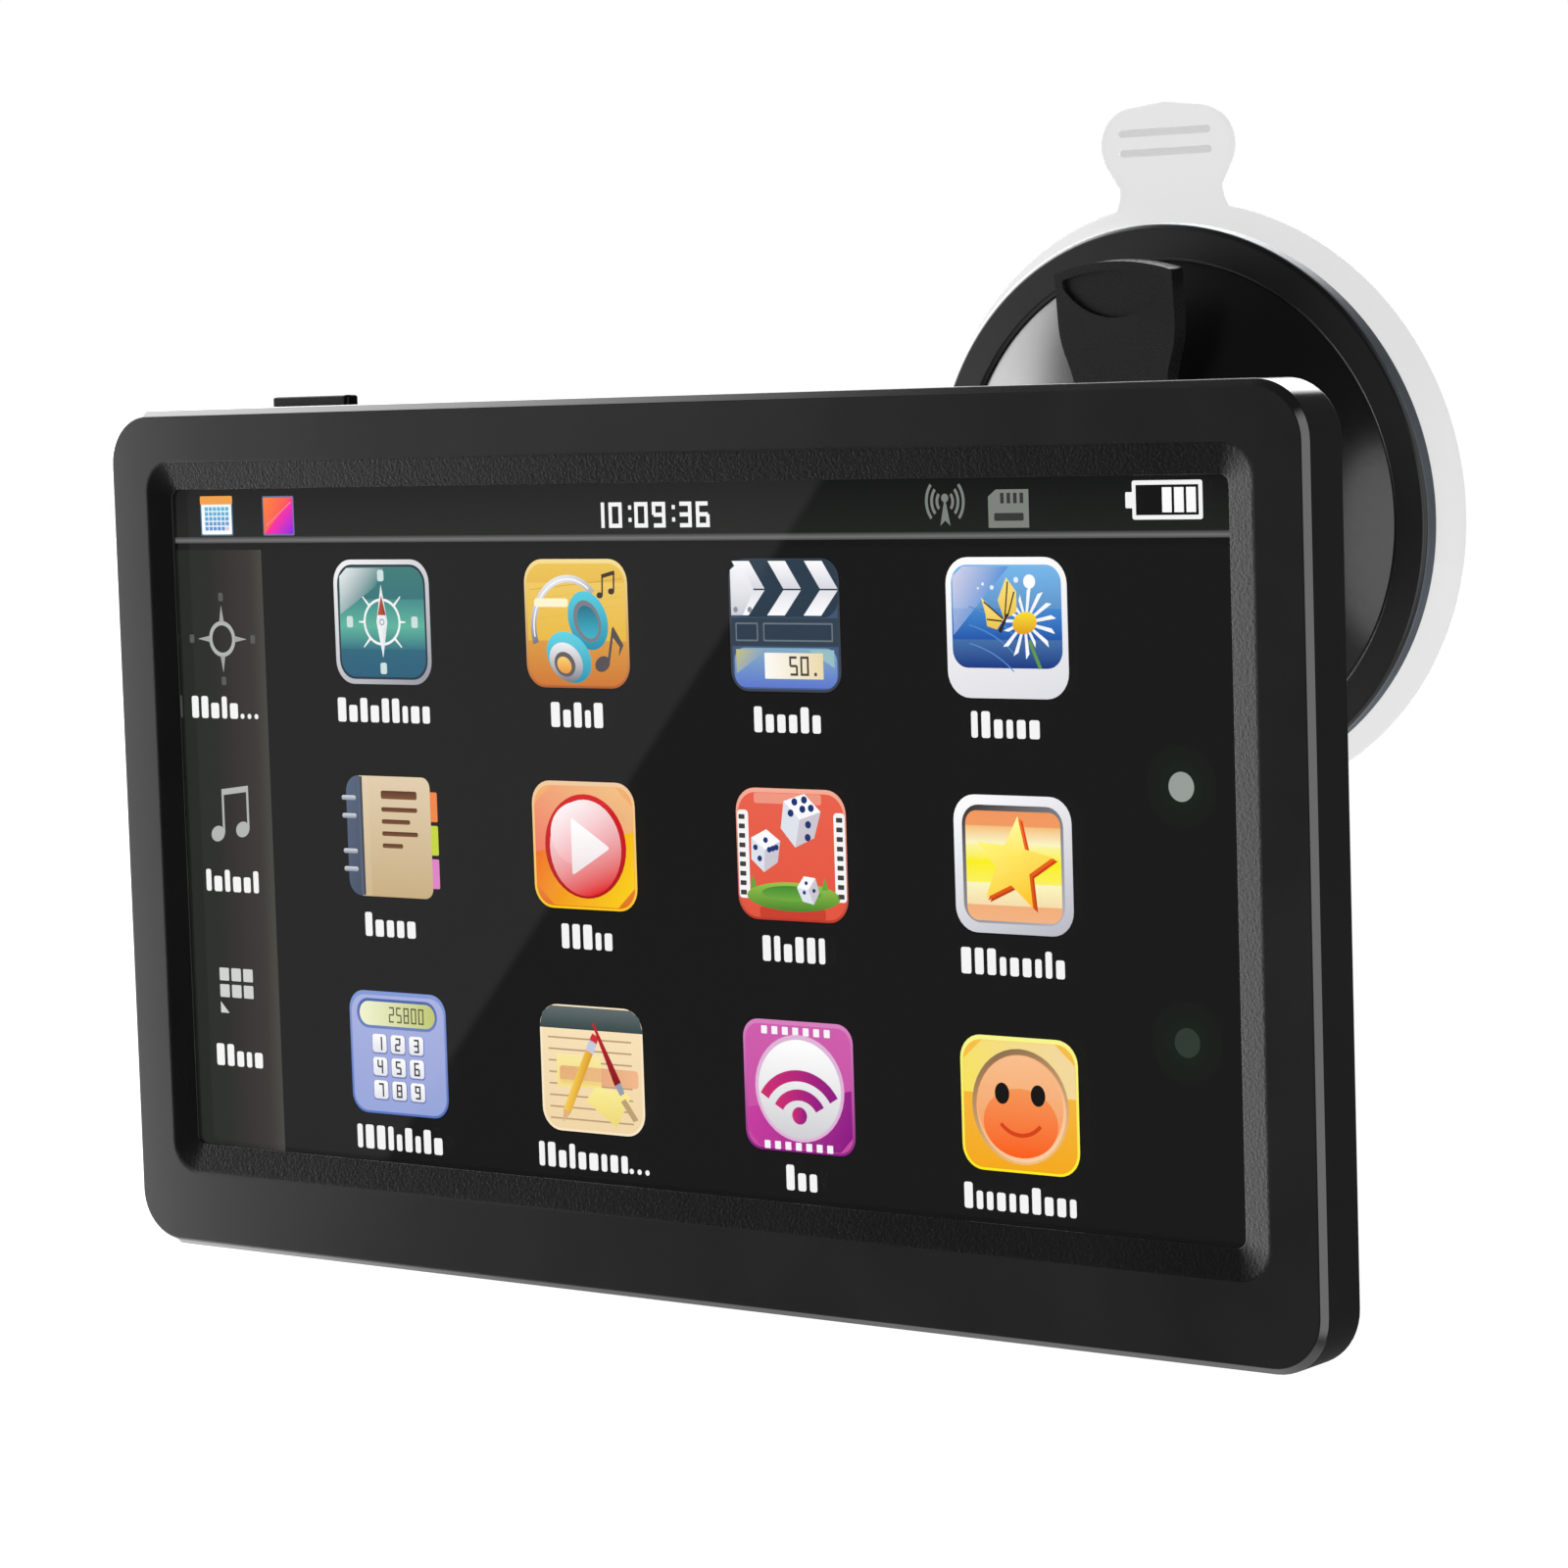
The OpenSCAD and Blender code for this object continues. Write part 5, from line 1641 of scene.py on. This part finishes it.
def icon_notes(pic):
    pic.tile(((240, 214, 168), (248, 226, 186), UP), (250, 232, 198))
    pic.poly(
        [
            (-8.5, 5.1),
            (8.5, 5.1),
            (8.5, 5.4),
            (8.0, 7.1),
            (6.6, 8.0),
            (-6.6, 8.0),
            (-8.0, 7.1),
            (-8.5, 5.4),
        ],
        ((52, 70, 72), (96, 106, 108), UP),
    )
    for k in range(8):
        z = 3.9 - 1.5 * k
        pic.line(-7.2, z, 6.6, z, 0.22, (188, 156, 120), rise=0)
    pic.level += 1
    pic.rect(-5.9, -2.4, 1.5, 1.8, ((244, 222, 130), (248, 232, 160), UP), rise=0)
    pic.rect(-5.4, -2.0, 7.6, 0.3, ((222, 150, 110), (240, 184, 140), RIGHT), 0.5)
    pic.poly(
        [(-1.2, -4.1), (0.4, -2.2), (5.4, -2.6), (6.2, -3.2), (3.8, -7.2)],
        ((250, 236, 150), (236, 214, 116), DOWN),
    )
    pic.poly([(5.4, -3.4), (7.4, -6.0), (6.6, -6.3), (4.6, -3.8)], (186, 160, 116), rise=0)
    pic.level += 1
    pic.line(-4.4, -5.6, -0.2, 2.6, 1.25, ((214, 150, 34), (250, 206, 84), (-1, 0.4)))
    pic.line(-5.1, -7.0, -4.4, -5.6, 0.1, (222, 176, 130), 1.25, rise=0)
    pic.line(-0.35, 2.3, 0.35, 3.7, 1.3, (196, 202, 222), rise=0)
    pic.line(0.3, 3.6, 0.75, 4.5, 1.3, (206, 44, 48), 1.1, rise=0)
    pic.level += 1
    pic.line(0.4, 6.0, 4.2, -1.6, 0.3, ((196, 28, 40), (128, 14, 26), DOWN), 1.15)
    pic.line(4.2, -1.6, 4.9, -2.9, 1.05, (148, 158, 172), 0.8, rise=0)


def icon_radio(pic):
    pic.tile(((196, 74, 160), (206, 92, 172), UP), ((214, 128, 190), (140, 20, 130), DOWN), r=2.4)
    pic.poly(
        [(-8.1, -3.0), (8.1, 0.0), (8.1, -5.9), (6.2, -7.8), (-6.2, -7.8), (-8.1, -5.9)],
        ((200, 60, 160), (136, 16, 128), (1, -0.5)),
    )
    for z in (6.9, -7.5):
        for k in range(7):
            pic.rect(-5.6 + 1.62 * k, z - 0.5, -4.7 + 1.62 * k, z + 0.5, (248, 244, 248), 0.1, rise=0)
    pic.level += 1
    pic.oval(0.1, -0.2, 6.9, 6.7, (222, 180, 214))
    pic.oval(0.1, -0.3, 6.4, 6.2, ((255, 255, 255), (206, 206, 210), DOWN))
    band = ((206, 40, 110), (136, 18, 130), RIGHT)
    pic.ring(0.0, -4.2, 6.9, 6.3, 1.4, band, 30, 150, steps=24)
    pic.ring(0.0, -4.2, 4.3, 3.9, 1.4, band, 28, 152, rise=0, steps=24)
    pic.oval(0.0, -3.6, 1.15, 1.1, band, rise=0, steps=24)


def icon_smile(pic):
    pic.tile(((244, 168, 20), (246, 190, 70), UP), ((246, 246, 140), (252, 236, 20), DOWN))
    pic.poly(
        [(-8.1, 1.2), (8.1, 1.2), (8.1, 5.2), (5.3, 7.6), (-5.3, 7.6), (-8.1, 5.2)],
        ((246, 226, 90), (242, 214, 160), (1, 0.5)),
    )
    pic.oval(0.1, -0.2, 7.0, 7.0, ((140, 110, 80), (240, 190, 130), (0.4, -1)))
    pic.oval(0.2, -0.4, 6.5, 6.5, ((244, 160, 100), (252, 206, 160), (0.5, -1)))
    pic.oval(0.1, -0.2, 6.2, 6.2, ((242, 150, 84), (248, 190, 140), UP))
    pic.oval(0.1, -2.2, 5.4, 4.2, ((250, 92, 16), (244, 148, 84), UP))
    for x in (-2.5, 2.7):
        pic.oval(x, 1.3, 1.05, 1.3, (8, 8, 8), rise=0, steps=24)
    pic.level += 1
    pic.ring(0.1, 0.2, 4.1, 4.1, 0.5, (212, 64, 16), 222, 318, steps=20)


COLUMNS = (-45.5, -13.3, 18.9, 51.0)
ROWS = (26.2, -1.3, -29.3)
# One row of icons per line: how high its captions stand, then each caption's width and its dots.
LABELS = (
    (14.9, (16.4, 9.2, 10.0, 10.7), (0, 0, 0, 0)),
    (-12.7, (9.8, 8.3, 9.6, 15.4), (0, 0, 0, 0)),
    (-40.4, (15.4, 18.2, 4.6, 16.4), (0, 3, 0, 0)),
)
ICONS = (
    (icon_compass, icon_music, icon_film, icon_photo),
    (icon_book, icon_play, icon_game, icon_star),
    (icon_calculator, icon_notes, icon_radio, icon_smile),
)


def make_screen():
    make_ground()
    make_status()
    make_side_bar()
    for row, (z, widths, dots) in enumerate(LABELS):
        for column, draw in enumerate(ICONS[row]):
            pic = Picture("screen_" + draw.__name__, COLUMNS[column], ROWS[row], scale=0.97)
            draw(pic)
            pic.level, pic.scale = 4, 1.0
            seed = 10 * row + column + 11
            caption(pic, 0, z - ROWS[row], widths[column], seed, dots=dots[column])
            pic.build()


# ---- stage --------------------------------------------------------------------------------

CAMERA_AT = (0.356676, -0.441284, 0.056673)
CAMERA_AZ, CAMERA_EL, CAMERA_ROLL = 37.4247, 4.8990, 1.7987
CAMERA_LENS = 107.75


def make_camera():
    """The photograph's viewpoint, given in the case frame."""
    az, el, roll = (math.radians(a) for a in (CAMERA_AZ, CAMERA_EL, CAMERA_ROLL))
    back = Vector((math.sin(az) * math.cos(el), -math.cos(az) * math.cos(el), math.sin(el)))
    right = Vector((math.cos(az), math.sin(az), 0))
    down = back.cross(right) * -1
    turned_right = math.cos(roll) * right + math.sin(roll) * down
    turned_down = -math.sin(roll) * right + math.cos(roll) * down
    data = bpy.data.cameras.new("camera")
    data.sensor_width = 36
    data.lens = CAMERA_LENS
    data.clip_start, data.clip_end = 0.01, 50
    camera = bpy.data.objects.new("camera", data)
    bpy.context.scene.collection.objects.link(camera)
    turn = Matrix((turned_right, -turned_down, back)).transposed().to_4x4()
    turn.translation = CASE @ Vector(CAMERA_AT)
    camera.matrix_world = turn
    bpy.context.scene.camera = camera


def towards(azimuth, elevation):
    a, e = math.radians(azimuth), math.radians(elevation)
    return Vector((math.sin(a) * math.cos(e), -math.cos(a) * math.cos(e), math.sin(e)))


class Sky:
    """A studio of large soft boxes, as a sum of smooth patches of light by direction."""

    def __init__(self):
        world = bpy.data.worlds.new("studio")
        bpy.context.scene.world = world
        world.use_nodes = True
        self.tree = world.node_tree
        self.where = self.tree.nodes.new("ShaderNodeTexCoord").outputs["Generated"]
        self.total = None

    def math(self, operation, *values):
        node = self.tree.nodes.new("ShaderNodeMath")
        node.operation = operation
        for socket, value in zip(node.inputs, values):
            if isinstance(value, (int, float)):
                socket.default_value = value
            else:
                self.tree.links.new(value, socket)
        return node.outputs[0]

    def dot(self, direction):
        node = self.tree.nodes.new("ShaderNodeVectorMath")
        node.operation = "DOT_PRODUCT"
        self.tree.links.new(self.where, node.inputs[0])
        node.inputs[1].default_value = direction
        return node.outputs["Value"]

    def smooth(self, value, start, end):
        node = self.tree.nodes.new("ShaderNodeMapRange")
        node.interpolation_type = "SMOOTHSTEP"
        set_inputs(node, {"From Min": start, "From Max": end, "To Min": 0.0, "To Max": 1.0})
        self.tree.links.new(value, node.inputs["Value"])
        return node.outputs["Result"]

    def add(self, light):
        self.total = light if self.total is None else self.math("ADD", self.total, light)

    def box(self, azimuth, elevation, half_w, half_h, strength, soft_w=6, soft_h=10):
        """A rectangular soft box seen from the middle: half sizes and soft edges in degrees."""
        facing = towards(azimuth, elevation)
        across = towards(azimuth + 90, 0)
        across = (across - facing * across.dot(facing)).normalized()
        upward = across.cross(facing)
        ahead = self.dot(facing)
        safe = self.math("MAXIMUM", ahead, 0.02)
        mask = self.smooth(ahead, 0.0, 0.05)
        for axis, half, soft in ((across, half_w, soft_w), (upward, half_h, soft_h)):
            slope = self.math("ABSOLUTE", self.math("DIVIDE", self.dot(axis), safe))
            outer, inner = (math.tan(math.radians(min(half + s, 86))) for s in (soft, -soft))
            mask = self.math("MULTIPLY", mask, self.smooth(slope, outer, max(inner, 0)))
        self.add(self.math("MULTIPLY", mask, strength))

    def fill(self, direction, start, end, low, high):
        """A broad change of light from one side to the other."""
        share = self.smooth(self.dot(direction), start, end)
        self.add(self.math("ADD", self.math("MULTIPLY", share, high - low), low))

    def sheen(self, top, bottom, inside, strength):
        """A board whose edge is mirrored in the glass as a line from top to bottom (x, z)."""
        rays = []
        for x, z in (top, bottom, inside):
            seen = Vector((x, GLASS_Y, z + WINDOW_Z)) - Vector(CAMERA_AT) / MM
            rays.append(Vector((seen.x, -seen.y, seen.z)).normalized())
        edge = rays[0].cross(rays[1]).normalized()
        if edge.dot(rays[2]) < 0:
            edge = -edge
        mask = self.smooth(self.dot(edge), -0.0012, 0.0012)
        middle = self.dot(towards(-39, -5))
        near = self.smooth(middle, math.cos(math.radians(17)), math.cos(math.radians(12)))
        self.add(self.math("MULTIPLY", self.math("MULTIPLY", mask, near), strength))

    def finish(self):
        background = self.tree.nodes["Background"]
        self.tree.links.new(self.total, background.inputs["Strength"])
        background.inputs["Color"].default_value = (1, 1, 1, 1)


def make_dome_lamp():
    """A small panel behind the case, which lights the side of the dome that the case shades."""
    panel = bpy.data.lights.new("dome_panel", "AREA")
    panel.shape = "ELLIPSE"
    panel.size, panel.size_y, panel.energy = 0.036, 0.07, 0.0155
    lamp = bpy.data.objects.new("dome_panel", panel)
    bpy.context.scene.collection.objects.link(lamp)
    place = Matrix.Translation((0.051, -0.054, -0.021))
    lamp.matrix_world = CUP @ place @ Matrix.Rotation(math.radians(90), 4, "X")
    lamp.visible_camera = False


def make_light():
    """Soft boxes at the left, right and behind the camera, and a board mirrored in the glass."""
    sky = Sky()
    sky.fill((0, 0, -1), 0.55, 0.92, 0.085, 1.3)
    sky.box(-95.5, 3, 38.5, 43, 9.5, soft_w=4, soft_h=9)
    sky.box(-58, -8, 11.3, 18, 4.2, soft_w=1.0, soft_h=7)
    sky.box(60, 0, 12, 35, 2.4)
    sky.box(-142, 6, 26, 12, 1.1, soft_w=10, soft_h=6)
    sky.box(-158, 28, 13, 12, 7.0, soft_w=6, soft_h=6)
    sky.sheen((25, 43.3), (-48, -42.7), (-60, 30), 0.2)
    sky.finish()
    make_dome_lamp()


FLOOR_DROP, FLOOR_R, ROOM_R = 0.15, 5.5, 6
UNSEEN_BY = ("glossy", "diffuse", "shadow", "transmission", "volume_scatter")


def stage_shader(name, light):
    """A white surface that gives off its own light and mirrors nothing."""
    material, tree, bsdf = shader(name)
    white = (1, 1, 1, 1)
    set_inputs(bsdf, {"Emission Color": white, "Emission Strength": light, "Specular IOR Level": 0.0})
    return material, tree, bsdf


def make_room():
    shape = bmesh.new()
    bmesh.ops.create_icosphere(shape, subdivisions=4, radius=ROOM_R)
    data = bpy.data.meshes.new("room")
    shape.to_mesh(data)
    shape.free()
    room = bpy.data.objects.new("room", data)
    bpy.context.scene.collection.objects.link(room)
    material, _, bsdf = stage_shader("room_white", 1.0)
    set_inputs(bsdf, {"Base Color": (0, 0, 0, 1)})
    data.materials.append(material)
    return room


def make_floor():
    low = (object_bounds()[0].z - FLOOR_DROP) / MM
    rim = [(x / MM, z / MM, low) for x, z in circle(0, 0, FLOOR_R, 96)]
    floor = mesh_object("floor", rim, [tuple(range(96))], Matrix.Identity(4))
    material, tree, bsdf = stage_shader("floor_pale", 0.985)
    set_inputs(bsdf, {"Roughness": 0.9})
    tone = two_tone(tree, noise(tree, 3, 2), [0.02] * 3, [0.024] * 3)
    tree.links.new(tone, bsdf.inputs["Base Color"])
    floor.data.materials.append(material)
    return floor


def make_stage():
    """A white room that only the camera sees, and a pale floor below the object's lowest point."""
    made = [make_floor(), make_room()]
    for o in made:
        for kind in UNSEEN_BY:
            setattr(o, "visible_" + kind, False)


def main():
    dress_cad()
    make_bezel()
    make_button()
    make_back()
    make_dome()
    make_disc()
    make_lever()
    make_arm()
    make_knob()
    make_collar()
    make_cradle()
    make_screen()
    make_camera()
    make_light()
    make_stage()
    bpy.context.scene.view_settings.view_transform = "Standard"
    bpy.context.scene.view_settings.look = "None"


main()
